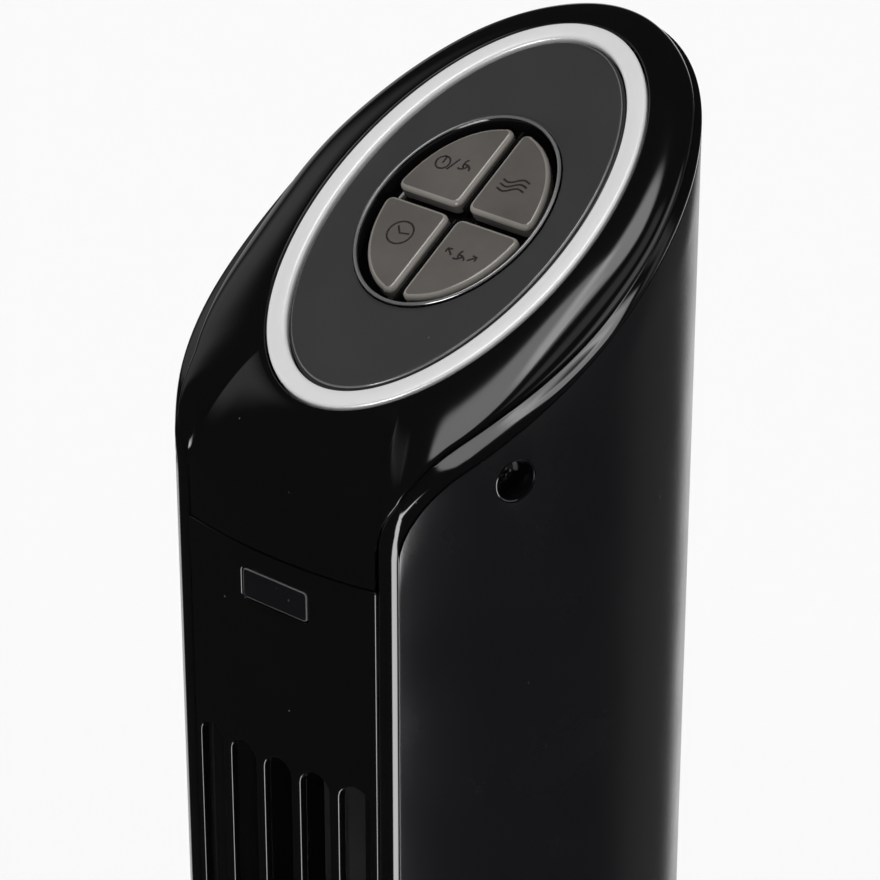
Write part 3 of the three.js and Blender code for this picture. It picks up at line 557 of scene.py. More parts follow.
def shell_section(along):
    outer, inner = wall(along), wall(along, WALL)
    top = ring_plane_z(outer[1]) - float(seam_drop(EDGE, abs(along) - CORNER_GAP * 0.8)) - GAP
    heights = [BODY_Z + (top - BODY_Z) * level for level in SHELL_LEVELS]
    return [np.append(outer, z) for z in heights] + [np.append(inner, z) for z in reversed(heights)]


half_steps = [s + CORNER_GAP * 0.8 for s in corner_steps(EDGE, 30)] + back_steps(EDGE, 90)
shell = finish_mesh("rear_shell_satin", loft([shell_section(s) for s in mirrored(half_steps)], False), SATIN)

# %% Slot cutters on a path, as Geometry Nodes
slots_tree, slots_in, slots_out = new_group(
    "Slots along a path", "GeometryNodeTree",
    [("Geometry", "NodeSocketGeometry", None), ("Path", "NodeSocketObject", None),
     ("Count", "NodeSocketInt", 5), ("Width", FLOAT, 0.004), ("Length", FLOAT, 0.1), ("Depth", FLOAT, 0.02),
     ("Material", "NodeSocketMaterial", None)],
    [("Geometry", "NodeSocketGeometry")])
path = put(slots_tree, "GeometryNodeObjectInfo", i0=slots_in["Path"]).outputs["Geometry"]
spots = put(slots_tree, "GeometryNodeCurveToPoints", i0=path, Count=slots_in["Count"])
frame_shape = put(slots_tree, "GeometryNodeCurvePrimitiveQuadrilateral",
                  i0=slots_in["Width"], i1=slots_in["Length"])
corner_size = calc(slots_tree, "MULTIPLY", slots_in["Width"], 0.499)
rounded = put(slots_tree, "GeometryNodeFilletCurve", {"mode": "POLY"}, Curve=frame_shape,
              Count=9, Radius=corner_size)
plate = put(slots_tree, "GeometryNodeFillCurve", {"mode": "NGONS"}, i0=rounded)
raised = put(slots_tree, "GeometryNodeExtrudeMesh", Mesh=plate, i3=slots_in["Depth"])
back_face = put(slots_tree, "GeometryNodeFlipFaces", Mesh=plate)
whole = put(slots_tree, "GeometryNodeJoinGeometry")
slots_tree.links.new(raised.outputs[0], whole.inputs[0])
slots_tree.links.new(back_face.outputs[0], whole.inputs[0])
welded = put(slots_tree, "GeometryNodeMergeByDistance", Geometry=whole, Distance=1e-6)
drop_back = calc(slots_tree, "MULTIPLY", slots_in["Depth"], -0.5)
offset = put(slots_tree, "ShaderNodeCombineXYZ", i2=drop_back)
centred = put(slots_tree, "GeometryNodeTransform", Geometry=welded, Translation=offset)
upright = put(slots_tree, "GeometryNodeTransform", Geometry=centred, Rotation=(math.pi / 2, 0, 0))
facing = put(slots_tree, "FunctionNodeAlignEulerToVector", {"axis": "X"}, Vector=spots.outputs["Tangent"])
cutters = put(slots_tree, "GeometryNodeInstanceOnPoints", Points=spots,
              Instance=upright, Rotation=facing)
real = put(slots_tree, "GeometryNodeRealizeInstances", Geometry=cutters)
cut = put(slots_tree, "GeometryNodeMeshBoolean", {"operation": "DIFFERENCE", "solver": "EXACT"})
slots_tree.links.new(slots_in["Geometry"], cut.inputs[0])
slots_tree.links.new(real.outputs[0], cut.inputs[1])
painted = put(slots_tree, "GeometryNodeSetMaterial", Geometry=cut,
              Material=slots_in["Material"])
slots_tree.links.new(painted.outputs[0], slots_out[0])
print("tree", slots_tree.name, len(slots_tree.nodes), "nodes")


# %% Running a tool and keeping plain mesh
def keep_result(piece, modifier):
    """Makes the modifier's result the piece's plain mesh and removes the modifier."""
    bpy.context.view_layer.update()
    seen = piece.evaluated_get(bpy.context.evaluated_depsgraph_get())
    mesh = bpy.data.meshes.new_from_object(seen)
    piece.modifiers.remove(modifier)
    old = piece.data
    piece.data = mesh
    bpy.data.meshes.remove(old)
    mesh.name = piece.name
    return mesh


def run_tool(piece, tree, **values):
    """Runs a Geometry Nodes tree on the piece and keeps the result as its plain mesh."""
    modifier = piece.modifiers.new(tree.name, "NODES")
    modifier.node_group = tree
    sockets = {item.name: item.identifier for item in tree.interface.items_tree if item.in_out == "INPUT"}
    for key, value in values.items():
        modifier[sockets[key]] = value
    keep_result(piece, modifier)


def path_curve(name, points):
    curve = bpy.data.curves.new(name, "CURVE")
    curve.dimensions = "3D"
    spline = curve.splines.new("POLY")
    spline.points.add(len(points) - 1)
    for made, point in zip(spline.points, points):
        made.co = (*[v * MM for v in point], 1)
    helper = bpy.data.objects.new(name, curve)
    SCENE.collection.objects.link(helper)
    return helper


def round_edges(piece, width, segments=3, limit=40.0, clamp=True):
    bevel = piece.modifiers.new("rounded rims", "BEVEL")
    bevel.width, bevel.segments = width * MM, segments
    bevel.limit_method, bevel.angle_limit = "ANGLE", math.radians(limit)
    bevel.use_clamp_overlap, bevel.harden_normals = clamp, not clamp
    mesh = keep_result(piece, bevel)
    if not clamp:
        return
    mesh.shade_smooth()
    bm = bmesh.new()
    bm.from_mesh(mesh)
    mark_sharp(bm, limit)
    bm.to_mesh(mesh)
    bm.free()


# %% Intake slots
INTAKE_COUNT, INTAKE_PITCH, INTAKE_WIDTH, INTAKE_LENGTH = 11, 8.6, 3.4, 136.0
INTAKE_ROWS, INTAKE_DEPTH = (230.0, 380.0, 530.0), 12.0
reach = (INTAKE_COUNT - 1) / 2 * INTAKE_PITCH
for z in INTAKE_ROWS:
    places = [np.append(wall(math.copysign(HALF_GIRTH - abs(o), o)), z)
              for o in np.linspace(-reach, reach, 81) if abs(o) > 1e-6]
    guide = path_curve("intake guide", places)
    run_tool(shell, slots_tree, Path=guide, Count=INTAKE_COUNT, Width=INTAKE_WIDTH * MM,
             Length=INTAKE_LENGTH * MM, Depth=INTAKE_DEPTH * MM, Material=SATIN)
    bpy.data.objects.remove(guide)
print("shell after slots", len(shell.data.polygons), "faces")

# %% A boolean helper and the recess
def cut_with(piece, cutter):
    boolean = piece.modifiers.new("cut", "BOOLEAN")
    boolean.operation, boolean.object, boolean.solver = "DIFFERENCE", cutter, "EXACT"
    keep_result(piece, boolean)
    bpy.data.objects.remove(cutter)


RECESS_RADIUS, RECESS_ALONG, RECESS_Z = 5.4, 67.8, 701.6
HOLE_RADIUS = RECESS_RADIUS + 0.45


def wall_frame(along):
    """The wall's place, outward normal and sideways direction at a distance along the outline."""
    at, inside = wall(along), wall(along, 1)
    outward = Vector((at[0] - inside[0], at[1] - inside[1], 0)).normalized()
    return Vector((at[0], at[1], RECESS_Z)), outward, Vector((0, 0, 1)).cross(outward)


def lathe(profile, segments=64):
    """A solid of revolution about Z from (radius, height) points; radius 0 closes on the axis."""
    rows = [[np.array([r * math.cos(a), r * math.sin(a), z]) for r, z in profile]
            for a in round_angles(segments)]
    return loft(rows, True)


def aim(bm, place, outward, sideways):
    """Moves a bmesh built about Z so that its Z points outward at place."""
    up = outward.cross(sideways)
    turn = Matrix((sideways, up, outward)).transposed().to_4x4()
    bmesh.ops.transform(bm, matrix=Matrix.Translation(place) @ turn, verts=bm.verts)
    return bm


for side in (1, -1):
    place, outward, sideways = wall_frame(side * RECESS_ALONG)
    hole = lathe([(0, -12), (HOLE_RADIUS, -12), (HOLE_RADIUS, 5), (0, 5)], 48)
    cut_with(shell, finish_mesh("recess cutter", aim(hole, place, outward, sideways), SATIN))
round_edges(shell, 0.75, 3)
put_on(shell, "rear_shell")
print("shell", len(shell.data.polygons), "faces")

# %% [markdown]
# ## Screw pockets
# The recess ends in a pocket with a screw at its bottom. The pocket is a lathed cup; the screw head has
# a cross cut by a boolean, as a real one has.

# %% Pockets and screws
for side, name in ((1, "right"), (-1, "left")):
    place, outward, sideways = wall_frame(side * RECESS_ALONG)
    lip = [(RECESS_RADIUS + 0.42, -3), (RECESS_RADIUS + 0.4, -0.55), (RECESS_RADIUS + 0.3, -0.3),
           (RECESS_RADIUS + 0.12, -0.18), (RECESS_RADIUS - 0.1, -0.3), (RECESS_RADIUS - 0.2, -0.7)]
    cup = lathe([(0, -9.4), (RECESS_RADIUS + 0.42, -9.4)] + lip
                + [(RECESS_RADIUS - 0.3, -7.6), (1.9, -7.7), (1.9, -8.6), (0, -8.6)], 48)
    pocket = finish_mesh(f"screw_pocket_{name}", aim(cup, place, outward, sideways), GLOSS)
    settle(pocket)
    head = lathe([(0, -9.2), (1.5, -9.2), (1.5, -7.3), (3.2, -7.2), (3.2, -6.3), (2.7, -5.6),
                  (1.6, -5.3), (0, -5.25)], 32)
    screw = finish_mesh(f"screw_head_{name}", aim(head, place, outward, sideways), BLACK_STEEL)
    for size in ((3.4, 0.8, 1.6), (0.8, 3.4, 1.6)):
        bar = bmesh.new()
        bmesh.ops.create_cube(bar, size=1.0)
        shape = Matrix.Translation((0, 0, -5.2)) @ Matrix.Diagonal((*size, 1))
        bmesh.ops.transform(bar, matrix=shape, verts=bar.verts)
        cut_with(screw, finish_mesh("cross cutter", aim(bar, place, outward, sideways), BLACK_STEEL))
    put_on(screw, f"shell_screw_{name}")
print("screws done")

# %% [markdown]
# ## Front grille
# The grille is a shallow arc with five long slots. The same Geometry Nodes tool that cut the intake cuts
# them, this time along a straight guide, and a bevel gives each slot the rounded rim that shows as a
# thin line of light.

# %% Grille panel and slots
PANEL_TOP = CAP_FRONT_Z - GAP
SLOT_COUNT, SLOT_PITCH, SLOT_WIDTH, SLOT_TOP, SLOT_LOW = 5, 12.0, 8.8, 617.6, 150.0
WINDOW_SIZE, WINDOW_Z = (21.8, 9.0), 665.2
half_face = FACE_HALF - 0.15
half_columns = [FRONT_RADIUS * math.asin(x / FRONT_RADIUS) for x in (6, 12, 18, 24)]
half_columns += [half_face - 0.7, half_face]
panel_rows = []
for s in [-c for c in reversed(half_columns)] + [0.0] + half_columns:
    outer, inner = wall(s), wall(s, 2.6)
    heights = [BODY_Z, 110, 150, 250, 350, 450, 550, 590, 620, 640, 655, PANEL_TOP]
    panel_rows.append([np.append(outer, z) for z in heights]
                      + [np.append(inner, z) for z in reversed(heights)])
grille = finish_mesh("grille_gloss", loft(panel_rows, False), GLOSS)
reach = (SLOT_COUNT - 1) / 2 * SLOT_PITCH
middle_z = (SLOT_TOP + SLOT_LOW) / 2
guide = path_curve("slot guide", [(x, FRONT_Y, middle_z) for x in np.linspace(-reach, reach, 9)])
run_tool(grille, slots_tree, Path=guide, Count=SLOT_COUNT, Width=SLOT_WIDTH * MM,
         Length=(SLOT_TOP - SLOT_LOW) * MM, Depth=20 * MM, Material=GLOSS)
bpy.data.objects.remove(guide)


def rounded_box(width, height, radius, low, high, segments=6):
    """A plate in the X-Z plane with rounded corners, from depth low to high along Y."""
    outline = []
    for cx, cz, start in ((1, 1, 0), (-1, 1, 90), (-1, -1, 180), (1, -1, 270)):
        for a in np.radians(np.linspace(start, start + 90, segments)):
            outline.append((cx * (width / 2 - radius) + radius * math.cos(a),
                            cz * (height / 2 - radius) + radius * math.sin(a)))
    return loft([[np.array([x, y, z]) for x, z in outline] for y in (low, high)], False)


hole = rounded_box(*WINDOW_SIZE, 1.5, -20, 20)
bmesh.ops.translate(hole, vec=(0, FRONT_Y, WINDOW_Z), verts=hole.verts)
cut_with(grille, finish_mesh("window cutter", hole, GLOSS))
round_edges(grille, 0.55, 3, clamp=False)
put_on(grille, "front_grille")
print("grille", len(grille.data.polygons), "faces")

# %% Infrared window
pane = rounded_box(WINDOW_SIZE[0] - 0.7, WINDOW_SIZE[1] - 0.7, 1.2, 0.45, 2.4)
bmesh.ops.translate(pane, vec=(0, FRONT_Y, WINDOW_Z), verts=pane.verts)
window = finish_mesh("ir_window_pane", pane, WINDOW)
round_edges(window, 0.3, 2)
# The pane's rounded edge faces get the light rim finish, a painted highlight round its outline.
second_finish(window, RIM_PAINTED_HIGHLIGHT, lambda face: -0.98 < face.normal.y < -0.1)
put_on(window, "ir_window")
print("window", len(window.data.polygons), "faces")

# %% [markdown]
# ## The oval head: ring, panel, pad
# Everything in the head is a sweep round an oval. A profile of (offset from the oval, height) points is
# carried round it; a width is kept by offsetting square to the oval, not by scaling it.

# %% Oval sweeps
OVAL_STEPS = 192


def oval_normal(half, angle):
    normal = np.array([math.cos(angle) / half[0], math.sin(angle) / half[1]])
    return normal / np.linalg.norm(normal)


def head_height(face):
    """How far a face's middle lies above the ring plane, and its place from the ring's centre."""
    middle = np.array(face.center) / MM - RING_CENTRE
    return middle[2] * math.cos(SLANT) - middle[1] * math.sin(SLANT), middle


def oval_row(half, angle, profile):
    """One section of a sweep: points offset square to the oval, or scaled towards its middle."""
    c, s = math.cos(angle), math.sin(angle)
    normal = oval_normal(half, angle)
    row = []
    for kind, amount, height in profile:
        x, y = half[0] * c, half[1] * s
        if kind == "offset":
            x, y = x - normal[0] * amount, y - normal[1] * amount
        else:
            x, y = x * amount, y * amount
        row.append(slant_point(x, y, height))
    return row


def oval_sweep(name, half, profile, material, sharp=38.0):
    rows = [oval_row(half, a, profile) for a in round_angles(OVAL_STEPS)]
    return finish_mesh(name, loft(rows, True), material, sharp=sharp)


def offsets(*points):
    return [("offset", w, z) for w, z in points]


# %% Silver ring
ring = oval_sweep("silver_ring", RING_HALF, offsets(
    (0, -RING_DEPTH), (0, -0.75), (0.06, -0.45), (0.22, -0.2), (0.5, -0.05), (0.85, 0), (2.6, 0.06),
    (RING_BAND - 1.0, 0), (RING_BAND - 0.55, -0.08), (RING_BAND - 0.25, -0.3), (RING_BAND - 0.08, -0.6),
    (RING_BAND, -1.0), (RING_BAND, -RING_DEPTH)), SILVER)
put_on(ring, "trim_ring")

# %% Fascia panel
FASCIA_EDGE, FASCIA_TOP, FASCIA_STEPS = RING_BAND + 1.15, -0.5, 16


def fascia_row(angle):
    c, s = math.cos(angle), math.sin(angle)
    outer = np.array([RING_HALF[0] * c, RING_HALF[1] * s]) - oval_normal(RING_HALF, angle) * FASCIA_EDGE
    inner = np.array([(PAD_HALF[0] + 0.25) * c, (PAD_HALF[1] + 0.25) * s])
    inward = (inner - outer) / np.linalg.norm(inner - outer)
    row = [(outer + inward * reach, height) for reach, height in (
        (-0.75, -3.2), (-0.75, -1.6), (-0.2, -1.45), (0, -0.95), (0.12, -0.62), (0.35, FASCIA_TOP))]
    row += [(outer + (inner - outer) * t, FASCIA_TOP) for t in np.linspace(0.06, 0.96, FASCIA_STEPS)]
    row += [(inner - inward * 0.2, FASCIA_TOP), (inner - inward * 0.05, FASCIA_TOP - 0.15),
            (inner, FASCIA_TOP - 0.4), (inner, -3.2)]
    return [slant_point(p[0], p[1], h) for p, h in row]


fascia_rows = [fascia_row(a) for a in round_angles(OVAL_STEPS)]
fascia = finish_mesh("fascia_panel_grey", loft(fascia_rows, True), FASCIA, sharp=50)


def outer_rim_painted_highlight(face):
    """The rounded edge next to the ring, and not the one round the pad; these faces get the painted
    highlight.
    """
    height, middle = head_height(face)
    return -0.94 < height < FASCIA_TOP - 0.02 and abs(middle[0]) + abs(middle[1]) > 26


# The rounded edge next to the ring gets the light rim finish, a painted highlight.
second_finish(fascia, RIM_PAINTED_HIGHLIGHT, outer_rim_painted_highlight)
put_on(fascia, "fascia_panel")

# %% Button bezel: a dished surround whose raised rim gets a painted highlight
BEZEL_FLOOR = -6.0
bezel_profile = offsets(
    (0, -7.0), (0, -0.5), (0.05, -0.1), (0.2, 0.15), (0.45, 0.28), (0.7, 0.22), (0.95, 0.0), (1.15, -0.5),
    (1.25, -1.2), (1.6, -4.6), (2.0, -5.6), (2.6, BEZEL_FLOOR))
bezel_profile += [("scale", k, BEZEL_FLOOR) for k in (0.8, 0.6, 0.4, 0.2, 0.0)]
bezel_profile += [("scale", k, -7.0) for k in (0.0, 0.5)]
bezel = oval_sweep("bezel_gloss", PAD_HALF, bezel_profile, GLOSS, sharp=60)
# The raised rim above the ring plane gets the light rim finish, a painted highlight.
second_finish(bezel, RIM_PAINTED_HIGHLIGHT, lambda face: head_height(face)[0] > 0.02)
put_on(bezel, "button_bezel")

# %% Rib between the buttons
rib_mesh = bmesh.new()
for low, high in ((-PAD_HALF[1] + 3.0, -1.9), (1.9, PAD_HALF[1] - 3.0)):
    section = [(-0.35, -6.2), (-0.35, -2.3), (-0.18, -2.05), (0.18, -2.05), (0.35, -2.3), (0.35, -6.2)]
    rows = [[rib_mesh.verts.new(slant_point(x, y, z)) for x, z in section] for y in (low, high)]
    join_rows(rib_mesh, rows, False)
rib = finish_mesh("bezel_rib", rib_mesh, GLOSS)
settle(rib)
print("head rings done")

# %% [markdown]
# ## Buttons and icons
# Each button is a quarter of an oval in smoked plastic. Its corners are rounded first and its upper edge
# second, so the edge runs round the corners in one even band, and that band is given a lighter smoked
# finish: a painted highlight for the light it catches. The icons are thin ribbons of ink: a power sign
# and fan, moving air, a clock, and a fan that swings.

# %% Quarter buttons
BUTTONS = {"power": (-1, 1), "speed": (1, 1), "timer": (-1, -1), "swing": (1, -1)}
BUTTON_TOP, BUTTON_LOW = -0.9, -4.8


def quarter_outline(steps=40):
    """The outline of the quarter with positive x and y."""
    gap_x, gap_y = BUTTON_GAP / 2, BUTTON_GAP / 2 + 0.2
    first = math.asin(gap_y / BUTTON_HALF[1])
    last = math.acos(gap_x / BUTTON_HALF[0])
    points = [(gap_x, gap_y)]
    points += [(BUTTON_HALF[0] * math.cos(a), BUTTON_HALF[1] * math.sin(a))
               for a in np.linspace(first, last, steps)]
    return points


def rounded_outline(points, radius, steps=8):
    """The outline with every corner sharper than about 35 degrees turned on a radius."""
    points, reach, out = np.array(points), radius * 1.15, []
    ahead, behind = np.roll(points, -1, axis=0) - points, np.roll(points, 1, axis=0) - points
    ahead /= np.linalg.norm(ahead, axis=1)[:, None]
    behind /= np.linalg.norm(behind, axis=1)[:, None]
    sharp = np.sum(ahead * behind, axis=1) > math.cos(math.radians(145))
    for here, one, two, corner in zip(points, behind, ahead, sharp):
        if corner:
            out += [here + one * reach * (1 - t) ** 2 + two * reach * t ** 2
                    for t in np.linspace(0, 1, steps)]
        elif np.linalg.norm(points[sharp] - here, axis=1).min() > reach * 1.1:
            out.append(here)
    return np.array(out)


BUTTON_ROLL = [(0, BUTTON_LOW), (0, BUTTON_TOP - 1.3), (0.07, BUTTON_TOP - 0.85), (0.28, BUTTON_TOP - 0.45),
               (0.6, BUTTON_TOP - 0.18), (1.0, BUTTON_TOP - 0.03), (1.4, BUTTON_TOP)]


def button_mesh(name, x_side, y_side):
    outline = rounded_outline(quarter_outline(), 2.4)
    ahead, behind = np.roll(outline, -1, axis=0), np.roll(outline, 1, axis=0)
    along = (ahead - behind) / np.linalg.norm(ahead - behind, axis=1)[:, None]
    inward = np.stack([-along[:, 1], along[:, 0]], 1)
    side = np.array([x_side, y_side])
    bm = loft([[np.array([*((p + n * depth) * side), z]) for p, n in zip(outline, inward)]
               for depth, z in BUTTON_ROLL], False)
    bmesh.ops.recalc_face_normals(bm, faces=bm.faces)
    bm.normal_update()
    # Faces of the rolled edge take the second slot, the lighter smoked finish: a painted highlight.
    for face in bm.faces:
        face.material_index = int(0.12 < face.normal.z < 0.985)
    for vert in bm.verts:
        vert.co = Vector(slant_point(*vert.co))
    pad = finish_mesh(name, bm, SMOKE, f"button_{name.split('_')[1]}", 60)
    pad.data.materials.append(SMOKE_EDGE_PAINTED_HIGHLIGHT)
    return pad


for name, (x_side, y_side) in BUTTONS.items():
    put_on(button_mesh(f"pad_{name}", x_side, y_side), f"button_{name}")
print("buttons", list(BUTTONS))


# %% Ink ribbons
INK_HEIGHT = 0.05


def ribbon(bm, points, width, closed=False):
    """A thin flat stroke along points on the buttons' top."""
    points = np.array(points, float)
    if closed:
        ahead, behind = np.roll(points, -1, axis=0), np.roll(points, 1, axis=0)
        direction = ahead - behind
    else:
        direction = np.gradient(points, axis=0)
    direction /= np.linalg.norm(direction, axis=1)[:, None]
    across = np.stack([-direction[:, 1], direction[:, 0]], 1) * width / 2
    rows = []
    for p, a in zip(points, across):
        left, right = p + a, p - a
        rows.append([bm.verts.new(slant_point(x, y, BUTTON_TOP + h)) for (x, y), h in
                     ((left, -0.02), (left, INK_HEIGHT), (right, INK_HEIGHT), (right, -0.02))])
    join_rows(bm, rows, closed)


def arc(cx, cy, rx, ry, start, end, steps=24):
    angles = np.radians(np.linspace(start, end, steps))
    return [(cx + rx * math.cos(a), cy + ry * math.sin(a)) for a in angles]


def ring_stroke(bm, cx, cy, radius, width):
    ribbon(bm, arc(cx, cy, radius, radius, 0, 348, 30), width, closed=True)


def fan_sign(bm, cx, cy, size, width):
    for k in range(3):
        start = 90 + 120 * k
        blade = arc(0, 0, size, size * 0.55, 0, 170, 9)
        c, s = math.cos(math.radians(start)), math.sin(math.radians(start))
        turned_blade = [(cx + x * c - y * s + size * 0.5 * c, cy + x * s + y * c + size * 0.5 * s)
                        for x, y in blade]
        ribbon(bm, turned_blade, width)


STROKE = 0.5
marks = {name: bmesh.new() for name in BUTTONS}
ring_stroke(marks["power"], -13.6, 12.2, 2.0, STROKE)
ribbon(marks["power"], [(-13.6, 12.0), (-13.6, 14.4)], STROKE)
ribbon(marks["power"], [(-11.3, 10.5), (-9.7, 14.7)], STROKE)
fan_sign(marks["power"], -7.0, 13.1, 1.3, STROKE)
for lift in (-1.5, 0.0, 1.5):
    wave = [(9.2 + x, 12.2 + lift + 0.2 * x + 0.6 * math.sin(x * 0.95)) for x in np.linspace(-3.9, 3.9, 28)]
    ribbon(marks["speed"], wave, 0.55)
ring_stroke(marks["timer"], -10.5, -11.3, 3.6, STROKE)
ribbon(marks["timer"], [(-12.3, -9.6), (-10.5, -11.5), (-7.9, -10.9)], STROKE)
fan_sign(marks["swing"], 9.4, -12.2, 1.15, STROKE)
for side in (1, -1):
    ribbon(marks["swing"], [(9.4 + side * 2.6, -12.6), (9.4 + side * 4.4, -11.0)], STROKE)
    hook = [(9.4 + side * out, y) for out, y in ((3.2, -10.8), (4.5, -10.9), (4.6, -12.2))]
    ribbon(marks["swing"], hook, STROKE)
for name, bm in marks.items():
    sign = finish_mesh(f"icon_{name}", bm, INK, f"button_{name}")
    settle(sign)
print("icons done")

# %% [markdown]
# ## Base and foot
# The round base is a lathed skirt with a hole for the gland; the column's foot has the column's own
# outline, lofted upwards with small radii at both ends. What is inside keeps its CAD shape and only gets
# a finish: rubber, steel, copper, acetal.

# %% Base cover
COVER_OUTER = [(135, 3.6), (135, 8), (131.5, 14.5), (122, 21.6), (98, 31.2), (74, 38),
               (60, 40.2), (36.2, 40.2)]
COVER_INNER = [(36.2, 37.2), (60, 37.2), (73, 35), (97, 28.2), (120, 19), (129, 12), (132.4, 7), (132.4, 3.6)]


def through(points, steps=6):
    """A smooth curve through the points, leaving the first and last span straight."""
    points = np.array(points, float)
    out = [points[0]]
    for i in range(1, len(points) - 2):
        a, b, c, d = points[i - 1:i + 3]
        for t in np.linspace(0, 1, steps, endpoint=False):
            out.append(0.5 * ((2 * b) + (c - a) * t + (2 * a - 5 * b + 4 * c - d) * t * t
                              + (3 * b - a - 3 * c + d) * t ** 3))
    return out + [points[-2], points[-1]]


cover = finish_mesh("base_gloss", lathe([(min(r, BASE_RADIUS), z) for r, z in through(COVER_OUTER)]
                                        + [tuple(p) for p in COVER_INNER], 160), GLOSS, "base", 50)
gland_hole = lathe([(0, -30), (5, -30), (5, 30), (0, 30)], 32)
aim(gland_hole, Vector((0, 130, 9.4)), Vector((0, 1, 0)), Vector((1, 0, 0)))
cut_with(cover, finish_mesh("gland cutter", gland_hole, GLOSS))
round_edges(cover, 0.5, 2, 50)
put_on(cover, "base_cover")
print("base", len(cover.data.polygons), "faces")

# %% Column foot
girth = mirrored(list(np.linspace(0, FACE_HALF, 20)) + corner_steps(SEAM, 12)[1:] + back_steps(SEAM, 60))[:-1]
FOOT_EDGE = ((1.0, 43.3), (0.3, 43.5), (0, 44.3), (0, 74.5), (0.25, 75.3), (0.9, 75.7))
foot_rows = [[np.append(wall(s, inset), z) for s in girth] for inset, z in FOOT_EDGE]
foot = finish_mesh("foot_gloss", loft(foot_rows, False), GLOSS)
spigot = lathe([(0, 38.0), (35.4, 38.0), (35.4, 43.6), (0, 43.6)], 64)
post = finish_mesh("foot_spigot", spigot, GLOSS)
put_on(foot, "tower_foot")
settle(post)
print("foot done")

# %% Finishes for the parts that keep their CAD shape
KEPT = {
    "base_plate": SATIN, "ballast_weight": STEEL, "bearing_ring": ACETAL, "swing_motor": STEEL,
    "cord_gland": RUBBER, "crank_disc": ACETAL, "crank_roller": ACETAL, "swing_arm": ACETAL,
    "ir_receiver": INNER, "scroll_wall": INNER, "vortex_tongue": INNER, "upper_end_plate": INNER,
    "lower_end_plate": INNER, "upper_bush": RUBBER, "lower_bush": STEEL, "motor_can": STEEL,
    "stator_core": STEEL, "winding_lower": COPPER, "winding_upper": COPPER, "capacitor": INNER,
    "power_board": BOARD, "control_deck": INNER, "control_board": BOARD, "impeller": INNER,
    "impeller_shaft": STEEL, "motor_rotor": STEEL}
KEPT.update({f"rubber_foot_{n}": RUBBER for n in (1, 2, 3, 4)})
KEPT.update({f"base_screw_{n}": STEEL for n in (1, 2, 3, 4)})
KEPT.update({f"switch_{name}": INNER for name in BUTTONS})
for node, material in KEPT.items():
    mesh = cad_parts[node].data
    mesh.materials.clear()
    mesh.materials.append(material)
print(len(KEPT), "kept nodes")

# %% [markdown]
# ## Studio
# Black gloss shows only what it reflects, so the studio is built from directions: a pale room for the
# floor and the ring, and for mirror rays a dark room with a few soft boxes. One group makes a soft box
# from its place round the horizon and its height.

# %% Floor
sweep = bmesh.new()
bmesh.ops.create_grid(sweep, x_segments=2, y_segments=2, size=6.0)
floor_mesh = bpy.data.meshes.new("floor")
sweep.to_mesh(floor_mesh)
sweep.free()
floor = bpy.data.objects.new("floor", floor_mesh)
SCENE.collection.objects.link(floor)
PALE = finish("pale floor", (0.93, 0.93, 0.93), (0.8, 0.9), specular=0.1, dust=0.0, tint=0.004)
floor_mesh.materials.append(PALE)
floor.visible_glossy = False

# %% Soft box group
box_group, box_in, box_out = new_group(
    "Soft box", "ShaderNodeTree",
    [("Round", FLOAT, 0.0), ("Rise", FLOAT, 0.0), ("From", FLOAT, 0.0),
     ("To", FLOAT, 30.0), ("Low", FLOAT, -30.0), ("High", FLOAT, 30.0),
     ("Soft", FLOAT, 4.0), ("Light", FLOAT, 1.0)], [("Light", FLOAT)])


def ramp(tree, value, low, high, soft, rising):
    """1 inside a limit and 0 outside it, changing over the softness."""
    gap = calc(tree, "SUBTRACT", value, low) if rising else calc(tree, "SUBTRACT", high, value)
    ratio = calc(tree, "DIVIDE", gap, soft)
    return put(tree, "ShaderNodeMapRange", {"interpolation_type": "SMOOTHSTEP"}, i0=ratio,
               i1=-0.5, i2=0.5, i3=0.0, i4=1.0).outputs[0]


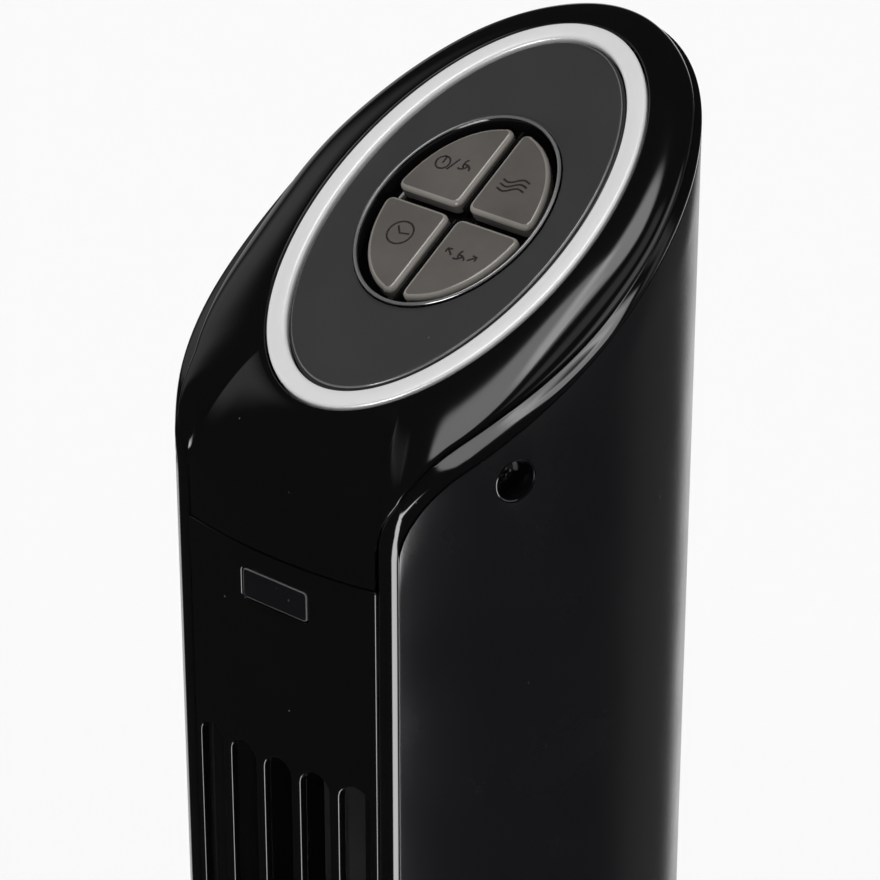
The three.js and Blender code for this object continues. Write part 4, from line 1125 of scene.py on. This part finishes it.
inside = None
for value, low, high in (("Round", "From", "To"), ("Rise", "Low", "High")):
    for rising in (True, False):
        side = ramp(box_group, box_in[value], box_in[low], box_in[high],
                    box_in["Soft"], rising)
        inside = side if inside is None else calc(box_group, "MULTIPLY", inside, side)
lit = calc(box_group, "MULTIPLY", inside, box_in["Light"])
box_group.links.new(lit, box_out["Light"])

# %% World
BOX_KEYS = ("From", "To", "Low", "High", "Soft", "Light")
BOXES = [
    (16.0, 47.0, -75.0, -2.0, 6.0, 11.0),  # front right, low
    (-172.0, -136.0, -80.0, 8.0, 7.0, 1.1),  # behind, right
    (-200.0, 200.0, 81.0, 100.0, 4.0, 4.0),  # overhead
    (-72.0, 25.0, 64.0, 84.0, 4.0, 3.2),  # overhead, towards the front
    (-128.0, -102.0, -75.0, 10.0, 10.0, 0.5),  # far left
    (98.0, 142.0, -8.0, 34.0, 8.0, 1.2),  # right, for the back
    (60.0, 125.0, 54.0, 70.0, 8.0, 0.55),  # high right
    (-106.0, -66.0, 18.0, 42.0, 14.0, 0.45),  # left
    (150.0, 176.0, -70.0, 12.0, 12.0, 0.10),  # back
]
DARK_ROOM, PALE_ROOM = 0.012, 1.04
world = bpy.data.worlds.new("studio")
SCENE.world = world
world.use_nodes = True
sky = world.node_tree
sky.nodes.clear()
direction = put(sky, "ShaderNodeTexCoord").outputs["Generated"]
axes = put(sky, "ShaderNodeSeparateXYZ", i0=direction)
front = calc(sky, "MULTIPLY", axes.outputs[1], -1.0)
round_angle = calc(sky, "DEGREES", calc(sky, "ARCTAN2", axes.outputs[0], front))
rise_angle = calc(sky, "DEGREES", calc(sky, "ARCSINE", axes.outputs[2]))
total = DARK_ROOM
for values in BOXES:
    box_node = add_group(sky, box_group, **dict(zip(BOX_KEYS, values)))
    sky.links.new(round_angle, box_node.inputs["Round"])
    sky.links.new(rise_angle, box_node.inputs["Rise"])
    total = calc(sky, "ADD", total, box_node)
ray = put(sky, "ShaderNodeLightPath")
room = put(sky, "ShaderNodeMix", {"data_type": "FLOAT"}, i0=ray.outputs["Is Glossy Ray"], i2=PALE_ROOM,
           i3=total)
glow = put(sky, "ShaderNodeBackground", Color=(1, 1, 1, 1), Strength=room)
put(sky, "ShaderNodeOutputWorld", Surface=glow)
world.cycles.sampling_method = "NONE"
print(len(BOXES), "soft boxes")
